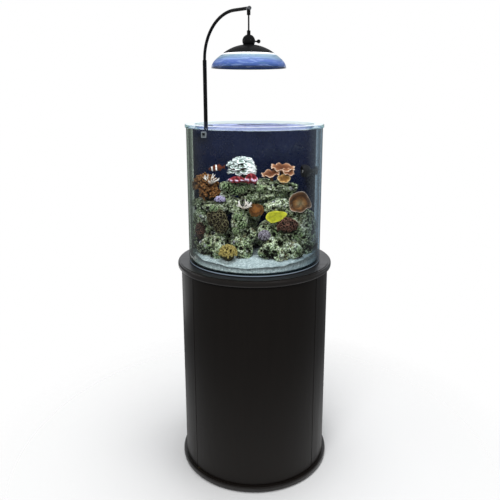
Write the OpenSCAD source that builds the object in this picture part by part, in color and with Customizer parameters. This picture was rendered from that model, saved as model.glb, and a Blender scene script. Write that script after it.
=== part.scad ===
// Cylindrical reef aquarium on a round cabinet stand, with a pendant lamp on a curved pole.
// Millimetres. The origin is the centre of the circle the stand covers on the floor, +Z up,
// and the front of the aquarium faces -Y.

/* [Stand] */
// Height from the floor to the top face of the stand
stand_h = 840; // [800:5:860]
// Radius of the base plate and of the top plate
plate_r = 298; // [294:1:306]
// Thickness of each round plate
plate_t = 25; // [24:1:30]
// Outer radius of the cylindrical cabinet
cabinet_r = 285; // [283:1:288]
// Thickness of the bent cabinet wall and door
cabinet_wall = 12; // [12:1:14]
// Half of the angle that the door covers, either side of the front
door_half = 52; // [48:1:56]
// Height of the top face of the loose shelf above the floor
shelf_z = 448; // [400:1:500]
// Height of the cable outlet's centre above the floor
outlet_z = 700; // [620:1:720]

/* [Tank] */
// Outer radius of the clear cylinder
tank_r = 254; // [250:1:256]
// Overall height of the tank from floor disc to top flange
tank_h = 515; // [505:1:520]
// Wall thickness of the clear cylinder
tank_wall_t = 8; // [6:0.5:8]
// Thickness of the clear floor disc
floor_t = 10; // [8:1:12]
// Outer radius of the top flange
flange_r = 258; // [258:1:262]
// Radius of the mouth in the top flange
mouth_r = 222; // [218:1:224]
// Thickness of the top flange
flange_t = 12; // [8:1:14]

/* [Lamp] */
// Outside radius of the straight lower pole
pole_r = 8; // [8:0.5:9]
// Outside radius of the curved upper arm
arm_r = 6; // [6:0.1:6.5]
// Distance of the pole from the tank's axis
pole_reach = 272; // [271:0.5:273]
// Bearing of the pole, counted from +X towards the back
pole_az = 136.5; // [130:0.5:142]
// Height of the arm's top centre line above the floor
arm_top_z = 1765; // [1740:5:1800]
// Radius of the bend in the arm
bend_r = 170; // [170:5:190]
// Horizontal distance from the pole to the hanging cord
hang_reach = 243; // [235:1:250]
// Largest radius of the glass shade
shade_r = 137.5; // [130:0.5:140]
// Radius of the round metal cap
cap_r = 93; // [88:1:96]
// Radius of the hanging cord
cord_r = 3; // [2.8:0.1:3.2]

/* [Hidden] */
$fn = 96;

wood = [0.12, 0.11, 0.10];
metal_black = [0.07, 0.07, 0.08];
clear = [0.75, 0.88, 0.88, 0.35];
navy = [0.10, 0.13, 0.26];
rock_grey = [0.42, 0.44, 0.36];

// Stand levels
pad_t = 2;
pad_r = 15;
pad_ring_r = 262;
base_z0 = pad_t;
base_z1 = base_z0 + plate_t;
top_z0 = stand_h - plate_t;
cabinet_in = cabinet_r - cabinet_wall;
edge_r = 9;
edge_step = 2;
hair = 0.05;

// Door
front_az = 270;
door_gap = 3;
door_mid_r = cabinet_r - cabinet_wall / 2;
pivot_inset = 8;
pivot_r = 3;
pivot_reach = 11;
pin_in = 25;
bush_r = 5;
bush_depth = 12;
bush_flange_r = 7;
bush_flange_t = 2.7;
gap_deg = door_gap / door_mid_r * 180 / PI;
inset_deg = pivot_inset / door_mid_r * 180 / PI;
door_az0 = front_az - door_half;
door_az1 = front_az + door_half;
pivot_az = door_az0 + inset_deg;
door_z0 = base_z1 + door_gap;
door_z1 = top_z0 - door_gap;
shell_az0 = door_az1 + gap_deg - 360;
shell_az1 = door_az0 - gap_deg;
jamb_t = 18;
jamb_deg = 6;
stop_deg = 2;
stop_gap = 0.5;

// Shelf, cleats and screws
shelf_t = 18;
shelf_r = cabinet_in - 2;
shelf_front_y = -118;
shelf_pin_r = 2.5;
shelf_pin_out = 14;
shelf_pin_in = 8;
shelf_pin_azs = [2, 62, 118, 178];
cleat_azs = [-8, 52, 108, 188];
cleat_half = 9;
cleat_t = 22;
cleat_h = 30;
screw_r = 2;
screw_head_r = 4;
screw_head_t = 3.5;
base_screw_azs = [-25, 5, 40, 75, 105, 140, 175, 205];
base_screw_len = 45;
cleat_screw_len = 44;
cleat_screw_turn = 5;

// Latch
latch_az = 312;
latch_z = top_z0 - 10;
latch_w = 14;
latch_r0 = 222;
latch_r1 = 258;
plunger_r = 4;
plunger_gap = 0.1;
plunger_r0 = 238;
strike_r = 8;
strike_face = 266;
plunger_r1 = strike_face - 0.3;

// Cable outlet
outlet_r = 31;
grommet_in = 27;
grommet_flange = 36;
grommet_flange_t = 3;

// Tank levels
mat_t = 3;
tank_z0 = stand_h + mat_t;
floor_z1 = tank_z0 + floor_t;
tank_z1 = tank_z0 + tank_h;
flange_z0 = tank_z1 - flange_t;
tank_in = tank_r - tank_wall_t;
part_t = 5;
part_r = 326.5;
part_y = -161.5;
part_z1 = flange_z0;
weir_depth = 24;
comb_h = 22;
comb_t = part_t - 2;
comb_half = 9;
comb_azs = [111, 58];
tooth = 5;
baffle_t = 5;
baffle_x = 62;
baffle_gap = 30;
baffle_z1 = 1320;

// Media basket in the middle chamber
basket_x = 50;
basket_y0 = 172.5;
basket_y1 = 213;
basket_z0 = 1130;
basket_z1 = 1330;
basket_wall = 2;
lip_t = 3;
lip_z = baffle_z1 + 0.4;
lip_reach = baffle_x + 3;
lip_inset = 4;
sponge_h = 70;

// Return pump, pipe and nozzle in the left chamber
pump_x = -97;
pump_y = 180;
pump_w = 46;
pump_d = 34;
pump_h = 52;
pump_foot = 2;
pump_z0 = floor_z1 + pump_foot;
rotor_r = 11;
rotor_bore = 12;
rotor_shaft_r = 1.5;
rotor_gap = 0.1;
rotor_z = pump_z0 + 24;
pipe_r = 8;
pipe_z = 1312;
elbow_fat = 2;
elbow_x = -196;
elbow_y = 122;
nozzle_x = elbow_x;
nozzle_y = 96;
spigot_in = 5;
nozzle_z = 1312;
nozzle_collar_r = 11;
nozzle_w = 19;
nozzle_h = 22;
nozzle_len = 26;

// Heater in the left chamber
heater_x = -152;
heater_y = 164;
heater_r = 10;
heater_z0 = 900;
heater_len = 210;

// Powerhead on the right wall
head_az = 10;
head_reach = 197;
head_z = 1176;
head_r = 25;
head_shell = 2.5;
head_open_z = 12;
head_pin_r = 2.4;
motor_r = 10;
motor_x0 = 8;
motor_x1 = 23;
propeller_shaft_r = 1.5;
head_arm_r = 5;
yoke_r0 = head_reach + head_r + 1;
yoke_t = 3;
cup_r = 16;
propeller_r = 18;
propeller_t = 6;

// Sand
sand_front = 871;
sand_back = 895;
sand_back_y = 60;

// Pole and arm
pole_x = pole_reach * cos(pole_az);
pole_y = pole_reach * sin(pole_az);
pole_sunk = 20;
pole_z0 = stand_h - pole_sunk;
pole_z1 = arm_top_z - bend_r;
pole_in = arm_r + 0.08;
collar_r = 13;
collar_h = 9;
spigot_len = 60;
arm_in = arm_r - 1.5;
arm_straight = hang_reach - bend_r - 8;
lock_z = pole_z1 - 30;
lock_shaft_r = 2;
lock_head_r = 6;
lock_head_t = 9;
finial_neck = 12;
finial_r = 7.5;

// Pendant, measured down the cord from the arm's centre line
hang_x = pole_x - hang_reach * cos(pole_az);
hang_y = pole_y - hang_reach * sin(pole_az);
ball_r = 4.6;
socket_r = 4.95;
cup_body_r = 6.6;
cup_lip = 3.5;
ball_top_z = arm_top_z - 20;
ball_low_z = arm_top_z - 80;
hanger_z0 = ball_top_z - cup_lip;
low_cup_z0 = ball_low_z - 12;
low_cup_z1 = ball_low_z + cup_lip;
house_r = 23.5;
house_wall = 2;
house_z = low_cup_z0 - 21;
house_z0 = house_z - 18;
house_neck_r = 20;
dome_r = 156;
dome_top_z = house_z0 + 7;
dome_z = dome_top_z - dome_r;
cap_t = 1.5;
cap_z0 = dome_z + sqrt(dome_r * dome_r - cap_r * cap_r);
shade_t = 4;
shade_z1 = cap_z0 - 2;
rim_z = cap_z0 - 53;
holder_r = 82;
holder_t = 2;
lampholder_r = 18;
lampholder_z0 = cap_z0 - 11;
bulb_base_r = 13;
bulb_base_z1 = lampholder_z0 + 24;
bulb_r = 21;
bulb_z = rim_z + 24;
key_z = house_z - 1;
key_r = 2.8;
key_gap = 0.1;
key_x0 = 17;
key_x1 = 33;
key_knob_r = 7;
key_knob_t = 4;

// ---------- helpers ----------

module ring(r_out, r_in, z0, h) {
    translate([0, 0, z0])
        difference() {
            cylinder(r = r_out, h = h);
            translate([0, 0, -1]) cylinder(r = r_in, h = h + 2);
        }
}

module arc_wall(r_in, r_out, az0, az1, z0, z1) {
    translate([0, 0, z0])
        rotate([0, 0, az0])
            rotate_extrude(angle = az1 - az0, $fn = 180)
                translate([r_in, 0]) square([r_out - r_in, z1 - z0]);
}

// A rod that points outwards from the axis at bearing az, between radii r0 and r1
module radial_rod(az, z, r0, r1, r) {
    rotate([0, 0, az]) translate([r0, 0, z]) rotate([0, 90, 0]) cylinder(r = r, h = r1 - r0);
}

module at_az(az, r, z) {
    rotate([0, 0, az]) translate([r, 0, z]) children();
}

// Round plate whose visible edge has a small step and then a quarter round on each side
module moulded_plate(z0) {
    translate([0, 0, z0])
        rotate_extrude($fn = 180)
            union() {
                translate([0, 0]) square([plate_r - edge_r, plate_t]);
                translate([0, edge_r]) square([plate_r, plate_t - 2 * edge_r]);
                intersection() {
                    translate([plate_r - edge_r, edge_r]) circle(r = edge_r, $fn = 64);
                    translate([plate_r - edge_r, 0]) square([edge_r, edge_r]);
                }
                intersection() {
                    translate([plate_r - edge_r, plate_t - edge_r]) circle(r = edge_r, $fn = 64);
                    translate([plate_r - edge_r, plate_t - edge_r]) square([edge_r, edge_r - edge_step]);
                }
            }
}

module at_pole(z) { translate([pole_x, pole_y, z]) children(); }
module at_hang(z) { translate([hang_x, hang_y, z]) children(); }

// ---------- stand ----------

module glide_pads() {
    color([0.2, 0.2, 0.2])
        for (i = [0 : 5])
            at_az(30 + 60 * i, pad_ring_r, 0) cylinder(r = pad_r, h = pad_t);
}

module base_screw_holes() {
    for (az = base_screw_azs)
        at_az(az, door_mid_r, base_z0 - 1) {
            cylinder(r = screw_r, h = base_screw_len + 1);
            cylinder(r = screw_head_r, h = screw_head_t + 1);
        }
}

module base_plate() {
    color(wood)
        difference() {
            moulded_plate(base_z0);
            base_screw_holes();
            at_az(pivot_az, door_mid_r, base_z1 - bush_depth) cylinder(r = bush_r, h = bush_depth + 1);
        }
}

module cleat_screw(az) {
    at_az(az, cabinet_in - cleat_t / 2, top_z0 - cleat_h) children();
}

module assembly_screws() {
    color("silver") {
        for (az = base_screw_azs)
            at_az(az, door_mid_r, base_z0) {
                cylinder(r = screw_r, h = base_screw_len);
                cylinder(r = screw_head_r, h = screw_head_t);
            }
        for (az = cleat_azs)
            for (side = [-1, 1])
                cleat_screw(az + side * cleat_screw_turn) {
                    cylinder(r = screw_r, h = cleat_screw_len);
                    cylinder(r = screw_head_r, h = screw_head_t);
                }
    }
}

module cabinet_shell() {
    color(wood)
        difference() {
            arc_wall(cabinet_in, cabinet_r, shell_az0, shell_az1, base_z1, top_z0);
            base_screw_holes();
            radial_rod(90, outlet_z, cabinet_in - 10, cabinet_r + 10, outlet_r);
            for (az = shelf_pin_azs)
                radial_rod(az, shelf_z - shelf_t - shelf_pin_r, cabinet_in - 5,
                    cabinet_in + shelf_pin_in, shelf_pin_r);
        }
}

module door_jambs() {
    color(wood) {
        arc_wall(cabinet_in - jamb_t, cabinet_in, shell_az1 - jamb_deg, shell_az1, base_z1, top_z0);
        arc_wall(cabinet_in - jamb_t, cabinet_in, shell_az0, shell_az0 + jamb_deg, base_z1, top_z0);
        arc_wall(cabinet_in - jamb_t, cabinet_in - stop_gap, shell_az0 - stop_deg, shell_az0,
            base_z1, top_z0);
    }
}

module cabinet_door() {
    color(wood)
        difference() {
            arc_wall(cabinet_in, cabinet_r, door_az0, door_az1, door_z0, door_z1);
            at_az(pivot_az, door_mid_r, door_z0 - 1) cylinder(r = pivot_r, h = pin_in + 1);
            at_az(pivot_az, door_mid_r, door_z1 - pin_in) cylinder(r = pivot_r, h = pin_in + 1);
            radial_rod(latch_az, latch_z, strike_face, cabinet_in + 3, strike_r);
        }
}

module door_pivot_pins() {
    color("silver") {
        at_az(pivot_az, door_mid_r, base_z1 - pivot_reach) cylinder(r = pivot_r, h = pivot_reach + door_gap + pin_in);
        at_az(pivot_az, door_mid_r, door_z1 - pin_in) cylinder(r = pivot_r, h = pin_in + door_gap + pivot_reach);
    }
}

module bush() {
    difference() {
        union() {
            translate([0, 0, -bush_depth]) cylinder(r = bush_r, h = bush_depth);
            cylinder(r = bush_flange_r, h = bush_flange_t);
        }
        translate([0, 0, -bush_depth - 1]) cylinder(r = pivot_r + 0.06, h = bush_depth + bush_flange_t + 2);
    }
}

module door_pivot_bushes() {
    color("goldenrod") {
        at_az(pivot_az, door_mid_r, base_z1) bush();
        at_az(pivot_az, door_mid_r, top_z0) mirror([0, 0, 1]) bush();
    }
}

module cabinet_shelf() {
    color([0.2, 0.17, 0.14])
        intersection() {
            translate([0, 0, shelf_z - shelf_t]) cylinder(r = shelf_r, h = shelf_t, $fn = 180);
            translate([-shelf_r, shelf_front_y, shelf_z - shelf_t]) cube([2 * shelf_r, 2 * shelf_r, shelf_t]);
        }
}

module shelf_pins() {
    color("silver")
        for (az = shelf_pin_azs)
            radial_rod(az, shelf_z - shelf_t - shelf_pin_r, cabinet_in - shelf_pin_out,
                cabinet_in + shelf_pin_in, shelf_pin_r);
}

module top_cleats() {
    color([0.3, 0.24, 0.18])
        difference() {
            for (az = cleat_azs)
                arc_wall(cabinet_in - cleat_t, cabinet_in, az - cleat_half, az + cleat_half,
                    top_z0 - cleat_h, top_z0);
            for (az = cleat_azs)
                for (side = [-1, 1])
                    cleat_screw(az + side * cleat_screw_turn) {
                        translate([0, 0, -1]) cylinder(r = screw_r, h = cleat_screw_len + 1);
                        translate([0, 0, -1]) cylinder(r = screw_head_r, h = screw_head_t + 1);
                    }
        }
}

module stand_top() {
    color(wood)
        difference() {
            moulded_plate(top_z0);
            at_az(pivot_az, door_mid_r, top_z0 - 1) cylinder(r = bush_r, h = bush_depth + 1);
            at_pole(pole_z0) cylinder(r = pole_r + hair, h = pole_sunk + 1);
            for (az = cleat_azs)
                for (side = [-1, 1])
                    cleat_screw(az + side * cleat_screw_turn) cylinder(r = screw_r, h = cleat_screw_len);
        }
}

module push_latch_body() {
    color([0.15, 0.15, 0.15])
        difference() {
            at_az(latch_az, latch_r0, latch_z - latch_w / 2)
                translate([0, -latch_w / 2, 0]) cube([latch_r1 - latch_r0, latch_w, latch_w / 2 + 10]);
            radial_rod(latch_az, latch_z, latch_r0 + 8, latch_r1 + 1, plunger_r + plunger_gap);
        }
}

module push_latch_plunger() {
    color("whitesmoke") radial_rod(latch_az, latch_z, plunger_r0, plunger_r1, plunger_r);
}

module strike_plate() {
    color("silver") radial_rod(latch_az, latch_z, strike_face, cabinet_in + 3, strike_r);
}

module cable_grommet() {
    color([0.15, 0.15, 0.15])
        difference() {
            union() {
                radial_rod(90, outlet_z, cabinet_in - 2, cabinet_r + 1, outlet_r);
                radial_rod(90, outlet_z, cabinet_r, cabinet_r + grommet_flange_t, grommet_flange);
            }
            radial_rod(90, outlet_z, cabinet_in - 12, cabinet_r + 12, grommet_in);
        }
}

// ---------- tank ----------

module tank_mat() {
    color([0.1, 0.1, 0.12]) translate([0, 0, stand_h]) cylinder(r = tank_r - 3, h = mat_t, $fn = 180);
}

module tank_floor() {
    color(clear) translate([0, 0, tank_z0]) cylinder(r = tank_r, h = floor_t, $fn = 180);
}

module tank_wall() {
    color(clear) ring(tank_r, tank_in, floor_z1, flange_z0 - floor_z1, $fn = 180);
}

module top_flange() {
    color(clear) ring(flange_r, mouth_r, flange_z0, flange_t, $fn = 180);
}

module in_tank() {
    intersection() {
        children();
        translate([0, 0, floor_z1]) cylinder(r = tank_in, h = tank_h, $fn = 180);
    }
}

module partition_arc(r0, r1, az0, az1, z0, z1) {
    translate([0, part_y, 0]) arc_wall(r0, r1, az0, az1, z0, z1);
}

module rear_partition() {
    color(navy)
        difference() {
            in_tank() partition_arc(part_r, part_r + part_t, 30, 150, floor_z1, part_z1);
            for (az = comb_azs)
                partition_arc(part_r - 1, part_r + part_t + 1, az - comb_half, az + comb_half,
                    part_z1 - weir_depth, part_z1 + 1);
            translate([nozzle_x, nozzle_y + 20, nozzle_z]) rotate([90, 0, 0])
                cylinder(r = pipe_r + hair, h = 60);
        }
}

module weir_combs() {
    pitch = tooth * 180 / PI / part_r;
    color([0.08, 0.08, 0.1])
        for (az = comb_azs)
            difference() {
                partition_arc(part_r + 1, part_r + 1 + comb_t, az - comb_half + 0.1, az + comb_half - 0.1,
                    part_z1 - weir_depth, part_z1 - weir_depth + comb_h);
                for (i = [-8 : 8])
                    partition_arc(part_r - 1, part_r + part_t + 2, az + i * pitch - pitch / 4,
                        az + i * pitch + pitch / 4, part_z1 - weir_depth + 4, part_z1 + 20);
            }
}

module baffle(x, z0, z1) {
    in_tank()
        difference() {
            translate([x - baffle_t / 2, 0, z0]) cube([baffle_t, tank_r, z1 - z0]);
            translate([0, part_y, z0 - 1]) cylinder(r = part_r + part_t, h = z1 - z0 + 2, $fn = 180);
        }
}

module chamber_baffles() {
    color([0.1, 0.1, 0.12]) {
        baffle(-baffle_x, floor_z1 + baffle_gap, baffle_z1);
        difference() {
            baffle(baffle_x, floor_z1, baffle_z1);
            translate([baffle_x - baffle_t, basket_y0 + 14, baffle_z1 - baffle_gap])
                cube([2 * baffle_t, 16, baffle_gap + 1]);
        }
    }
}

module media_basket() {
    color([0.15, 0.15, 0.17])
        difference() {
            union() {
                translate([-basket_x, basket_y0, basket_z0])
                    cube([2 * basket_x, basket_y1 - basket_y0, basket_z1 - basket_z0]);
                translate([-lip_reach, basket_y0 + lip_inset, lip_z])
                    cube([2 * lip_reach, basket_y1 - basket_y0 - 2 * lip_inset, lip_t]);
            }
            translate([-basket_x + basket_wall, basket_y0 + basket_wall, basket_z0 + basket_wall])
                cube([2 * basket_x - 2 * basket_wall, basket_y1 - basket_y0 - 2 * basket_wall, 400]);
            for (row = [0 : 5])
                for (col = [-3 : 3])
                    translate([col * 13 - 2, basket_y0 - 1, basket_z0 + 16 + row * 26])
                        cube([4, basket_y1 - basket_y0 + 2, 16]);
            for (col = [-3 : 3])
                translate([col * 13 - 2, basket_y0 + 6, basket_z0 - 1]) cube([4, 28, basket_wall + 2]);
        }
}

module filter_sponge() {
    m = basket_wall + 0.2;
    color([0.1, 0.2, 0.45])
        translate([-basket_x + m, basket_y0 + m, basket_z0 + basket_wall])
            cube([2 * (basket_x - m), basket_y1 - basket_y0 - 2 * m, sponge_h]);
}

module return_pump() {
    color([0.1, 0.1, 0.12])
        difference() {
            union() {
                translate([pump_x - pump_w / 2, pump_y - pump_d / 2, pump_z0]) cube([pump_w, pump_d, pump_h]);
                translate([pump_x, pump_y, pump_z0 + pump_h - 1]) cylinder(r = pipe_r + 2, h = 13);
                for (sx = [-1, 1])
                    for (sy = [-1, 1])
                        translate([pump_x + sx * 16, pump_y + sy * 11, floor_z1])
                            cylinder(r = 5, h = pump_foot + 1);
            }
            translate([pump_x + pump_w / 2 - 22, pump_y, rotor_z]) rotate([0, 90, 0])
                cylinder(r = rotor_bore, h = 30);
            translate([pump_x - 10, pump_y, rotor_z]) rotate([0, 90, 0])
                cylinder(r = rotor_shaft_r + rotor_gap, h = 20);
            translate([pump_x, pump_y, pump_z0 + pump_h - 8]) cylinder(r = pipe_r + hair, h = 30);
        }
}

module pump_rotor() {
    rx = pump_x + pump_w / 2 - 18;
    color("whitesmoke") {
        translate([rx - 12, pump_y, rotor_z]) rotate([0, 90, 0]) cylinder(r = rotor_shaft_r, h = 28);
        translate([rx, pump_y, rotor_z]) rotate([0, 90, 0]) cylinder(r = 5, h = 12);
        for (i = [0 : 4])
            translate([rx, pump_y, rotor_z]) rotate([72 * i, 0, 0])
                translate([0, -0.8, 0]) cube([10, 1.6, rotor_r - 0.5]);
    }
}

// A riser, a run along the chamber and a short spigot forwards through the partition, with ball elbows
module return_pipe() {
    z0 = pump_z0 + pump_h - 8;
    dx = elbow_x - pump_x;
    dy = elbow_y - pump_y;
    color([0.1, 0.1, 0.12])
        difference() {
            union() {
                translate([pump_x, pump_y, z0]) cylinder(r = pipe_r, h = pipe_z - z0);
                translate([pump_x, pump_y, pipe_z]) sphere(r = pipe_r + elbow_fat);
                translate([pump_x, pump_y, pipe_z]) rotate([0, 0, atan2(dy, dx)]) rotate([0, 90, 0])
                    cylinder(r = pipe_r, h = norm([dx, dy]));
                translate([elbow_x, elbow_y, pipe_z]) sphere(r = pipe_r + elbow_fat);
                translate([elbow_x, elbow_y, pipe_z]) rotate([90, 0, 0])
                    cylinder(r = pipe_r, h = elbow_y - nozzle_y + 12);
            }
            translate([elbow_x, nozzle_y + 9, pipe_z]) rotate([90, 0, 0]) cylinder(r = spigot_in, h = 30);
        }
}

// The duckbill turns on a short spigot that runs inside the end of the return pipe
module return_nozzle() {
    y0 = nozzle_y - 13;
    color([0.45, 0.47, 0.5])
        difference() {
            union() {
                translate([nozzle_x, y0 + 9, nozzle_z]) rotate([90, 0, 0])
                    cylinder(r = spigot_in - 0.08, h = 10);
                translate([nozzle_x, y0, nozzle_z]) rotate([90, 0, 0]) cylinder(r = nozzle_collar_r, h = 6);
                translate([nozzle_x - nozzle_w / 2, y0 - nozzle_len, nozzle_z - nozzle_h / 2])
                    cube([nozzle_w, nozzle_len - 5, nozzle_h]);
            }
            translate([nozzle_x, y0 + 10, nozzle_z]) rotate([90, 0, 0]) cylinder(r = 3, h = 30);
            translate([nozzle_x - nozzle_w / 2 + 3, y0 - nozzle_len - 1, nozzle_z - nozzle_h / 2 + 3])
                cube([nozzle_w - 6, 16, nozzle_h - 6]);
        }
}

module heater() {
    color([0.12, 0.12, 0.14])
        translate([heater_x, heater_y, heater_z0]) {
            sphere(r = heater_r);
            cylinder(r = heater_r, h = heater_len);
            translate([0, 0, heater_len - 1]) cylinder(r = heater_r + 3, h = 36);
        }
}

// Suction cup, stem and a yoke whose two pins carry the powerhead
module powerhead_mount() {
    yoke_y = head_r + 3.4;
    color([0.08, 0.08, 0.09]) {
        radial_rod(head_az, head_z, tank_in - 8, tank_in - 1, cup_r);
        radial_rod(head_az, head_z, yoke_r0 + yoke_t - 1, tank_in - 7, head_arm_r + 3);
        at_az(head_az, 0, head_z) {
            translate([yoke_r0, -yoke_y - yoke_t, -head_arm_r])
                cube([yoke_t, 2 * (yoke_y + yoke_t), 2 * head_arm_r]);
            for (side = [-1, 1]) {
                translate([head_reach - head_arm_r, side * (yoke_y + yoke_t / 2) - yoke_t / 2, -head_arm_r])
                    cube([yoke_r0 - head_reach + head_arm_r + 1, yoke_t, 2 * head_arm_r]);
                translate([head_reach, side * (head_r - 2), 0]) rotate([-90 * side, 0, 0])
                    cylinder(r = head_pin_r, h = 7);
            }
        }
    }
}

module powerhead() {
    color([0.08, 0.08, 0.09])
        at_az(head_az, head_reach, head_z)
            difference() {
                union() {
                    rotate([0, -90, 0])
                        rotate_extrude()
                            difference() {
                                circle(r = head_r);
                                circle(r = head_r - head_shell);
                                translate([-2 * head_r, -2 * head_r]) square([2 * head_r, 4 * head_r]);
                                translate([0, head_open_z]) square([head_r, head_r]);
                            }
                    translate([motor_x0, 0, 0]) rotate([0, 90, 0])
                        cylinder(r = motor_r, h = motor_x1 - motor_x0);
                }
                translate([motor_x0 - 1, 0, 0]) rotate([0, 90, 0])
                    cylinder(r = propeller_shaft_r + 0.08, h = 11);
                for (side = [-1, 1])
                    translate([0, side * (head_r - 8), 0]) rotate([-90 * side, 0, 0])
                        cylinder(r = head_pin_r + 0.1, h = 12);
            }
}

module powerhead_propeller() {
    color([0.75, 0.75, 0.78])
        at_az(head_az, head_reach, head_z) {
            translate([-8, 0, 0]) rotate([0, 90, 0]) cylinder(r = 4, h = 14);
            translate([5, 0, 0]) rotate([0, 90, 0]) cylinder(r = propeller_shaft_r, h = 12);
            for (i = [0 : 2])
                rotate([120 * i, 0, 0]) translate([-6, -1, 0]) cube([propeller_t, 2, propeller_r]);
        }
}

function sand_section(low) = [[-tank_r, low], [tank_r, low], [tank_r, sand_back], [sand_back_y, sand_back],
    [-tank_r, sand_front]];

module sand_bed() {
    color([0.88, 0.88, 0.82])
        difference() {
            in_tank()
                translate([-tank_r, 0, 0]) rotate([90, 0, 90])
                    linear_extrude(height = 2 * tank_r)
                        polygon(sand_section(floor_z1));
            difference() {
                translate([-tank_r, -tank_r, floor_z1 - 1]) cube([2 * tank_r, 2 * tank_r, 100]);
                translate([0, part_y, floor_z1 - 2]) cylinder(r = part_r, h = 102, $fn = 180);
            }
        }
}

// ---------- reef ----------

// Each stone is a cluster of balls: [x, y, height, radius]
module balls(list) {
    for (b = list)
        translate([b[0], b[1], b[2]]) sphere(r = b[3], $fn = stone_fn);
}

stone_fn = 12;
left_balls = [[-165, 0, 925, 48], [-158, -20, 985, 42], [-185, 10, 1040, 34], [-135, -12, 1052, 36],
    [-108, -32, 1044, 28], [-148, -72, 914, 46], [-92, 10, 918, 38]];
right_balls = [[72, -112, 912, 44], [128, -120, 908, 44], [185, -40, 915, 44], [140, -50, 980, 44],
    [85, -70, 972, 46], [180, -10, 1000, 34], [75, -25, 1050, 36], [122, -18, 1042, 34]];
arch_balls = [[-48, -95, 915, 42], [-48, -55, 965, 34], [-26, 12, 985, 45], [0, 22, 1054, 50],
    [-50, -42, 1008, 32], [10, 20, 918, 46],
    [-82, -8, 1117, 35], [-28, -12, 1123, 41], [38, -4, 1117, 40], [92, -12, 1111, 37], [136, -5, 1106, 29]];

module on_sand() {
    difference() {
        children();
        translate([-tank_r, 0, 0]) rotate([90, 0, 90])
            linear_extrude(height = 2 * tank_r) polygon(sand_section(floor_z1 - 50));
    }
}

module rock_left() { color(rock_grey) on_sand() balls(left_balls); }
module rock_right() { color(rock_grey) on_sand() balls(right_balls); }

module rock_arch() {
    color(rock_grey)
        on_sand()
            difference() {
                balls(arch_balls);
                balls(left_balls);
                balls(right_balls);
            }
}

module off_rock() {
    difference() {
        children();
        balls(left_balls);
        balls(right_balls);
        balls(arch_balls);
    }
}

module disc(x, y, z, r, t) { translate([x, y, z]) cylinder(r = r, h = t); }

module plate_coral() {
    color([0.85, 0.9, 0.88])
        off_rock()
            intersection() {
                translate([-42, -28, 1182]) sphere(r = 58);
                translate([-42 - 60, -28 - 60, 1160]) cube([120, 120, 100]);
            }
}

module open_corals() {
    color([0.75, 0.4, 0.5])
        off_rock() {
            translate([-68, -75, 1140]) sphere(r = 19);
            translate([-12, -72, 1138]) sphere(r = 20);
        }
}

module leather_corals() {
    color([0.8, 0.5, 0.4])
        off_rock() {
            disc(62, -22, 1150, 12, 22);
            disc(62, -22, 1172, 34, 9);
            disc(118, -18, 1140, 11, 50);
            disc(118, -18, 1190, 32, 9);
            disc(102, -52, 1140, 9, 28);
            disc(102, -52, 1168, 24, 8);
        }
}

module hammer_coral() {
    color([0.6, 0.4, 0.25])
        off_rock() balls([[-188, -14, 1126, 36], [-172, -30, 1098, 28], [-190, -5, 1090, 28]]);
}

module mushroom_corals() {
    color([0.5, 0.33, 0.22])
        off_rock() {
            disc(168, -70, 1030, 12, 36);
            disc(168, -70, 1066, 42, 10);
            disc(8, -82, 1010, 10, 42);
            disc(8, -82, 1052, 26, 9);
        }
}

module yellow_corals() {
    color([0.85, 0.75, 0.2])
        off_rock() {
            translate([72, -104, 1032]) sphere(r = 32);
            on_sand() balls([[-96, -168, 902, 30], [-76, -160, 890, 18], [-116, -160, 890, 18]]);
        }
}

module zoanthids() {
    color([0.4, 0.12, 0.12])
        off_rock() balls([[120, -110, 997, 25], [-196, -60, 950, 20], [-200, -45, 985, 18]]);
}

module brown_coral() {
    color([0.3, 0.2, 0.13])
        off_rock() balls([[-130, -78, 1020, 32], [-118, -72, 990, 26]]);
}

// ---------- lamp ----------

module pole_collar() {
    color(metal_black)
        at_pole(stand_h)
            difference() {
                union() {
                    cylinder(r = collar_r, h = collar_h - 3);
                    translate([0, 0, collar_h - 3]) cylinder(r1 = collar_r, r2 = collar_r - 3, h = 3);
                }
                translate([0, 0, -1]) cylinder(r = pole_r + hair, h = collar_h + 2);
            }
}

module lower_pole() {
    color(metal_black)
        difference() {
            at_pole(pole_z0) cylinder(r = pole_r, h = pole_z1 - pole_z0);
            at_pole(pole_z0 - 1) cylinder(r = pole_in, h = pole_z1 - pole_z0 + 2);
            at_pole(lock_z) rotate([-90, 0, 0]) cylinder(r = lock_shaft_r + 0.08, h = 20);
        }
}

module lock_screw() {
    color(metal_black)
        at_pole(lock_z) rotate([-90, 0, 0]) {
            translate([0, 0, arm_r + 0.15]) cylinder(r = lock_shaft_r, h = 8);
            difference() {
                translate([0, 0, arm_r + 6]) cylinder(r = lock_head_r, h = lock_head_t);
                for (i = [0 : 11])
                    rotate([0, 0, 30 * i]) translate([lock_head_r + 0.4, 0, arm_r + 5]) cylinder(r = 1, h = 20);
            }
        }
}

// The arm: a straight spigot, a quarter bend and a straight end, in the plane through the tank's axis
module curved_arm() {
    color(metal_black)
        at_pole(0) rotate([0, 0, pole_az + 180]) {
            ring_tube(pole_z1 - spigot_len, spigot_len);
            translate([bend_r, 0, pole_z1]) rotate([90, 0, 0]) rotate([0, 0, 90])
                rotate_extrude(angle = 90)
                    translate([bend_r, 0]) difference() {
                        circle(r = arm_r);
                        circle(r = arm_in);
                    }
            translate([bend_r, 0, arm_top_z]) rotate([0, 90, 0])
                difference() {
                    cylinder(r = arm_r, h = arm_straight);
                    translate([0, 0, -1]) cylinder(r = arm_in, h = arm_straight + 2);
                }
        }
}

module ring_tube(z0, h) {
    translate([0, 0, z0])
        difference() {
            cylinder(r = arm_r, h = h);
            translate([0, 0, -1]) cylinder(r = arm_in, h = h + 2);
        }
}

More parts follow.
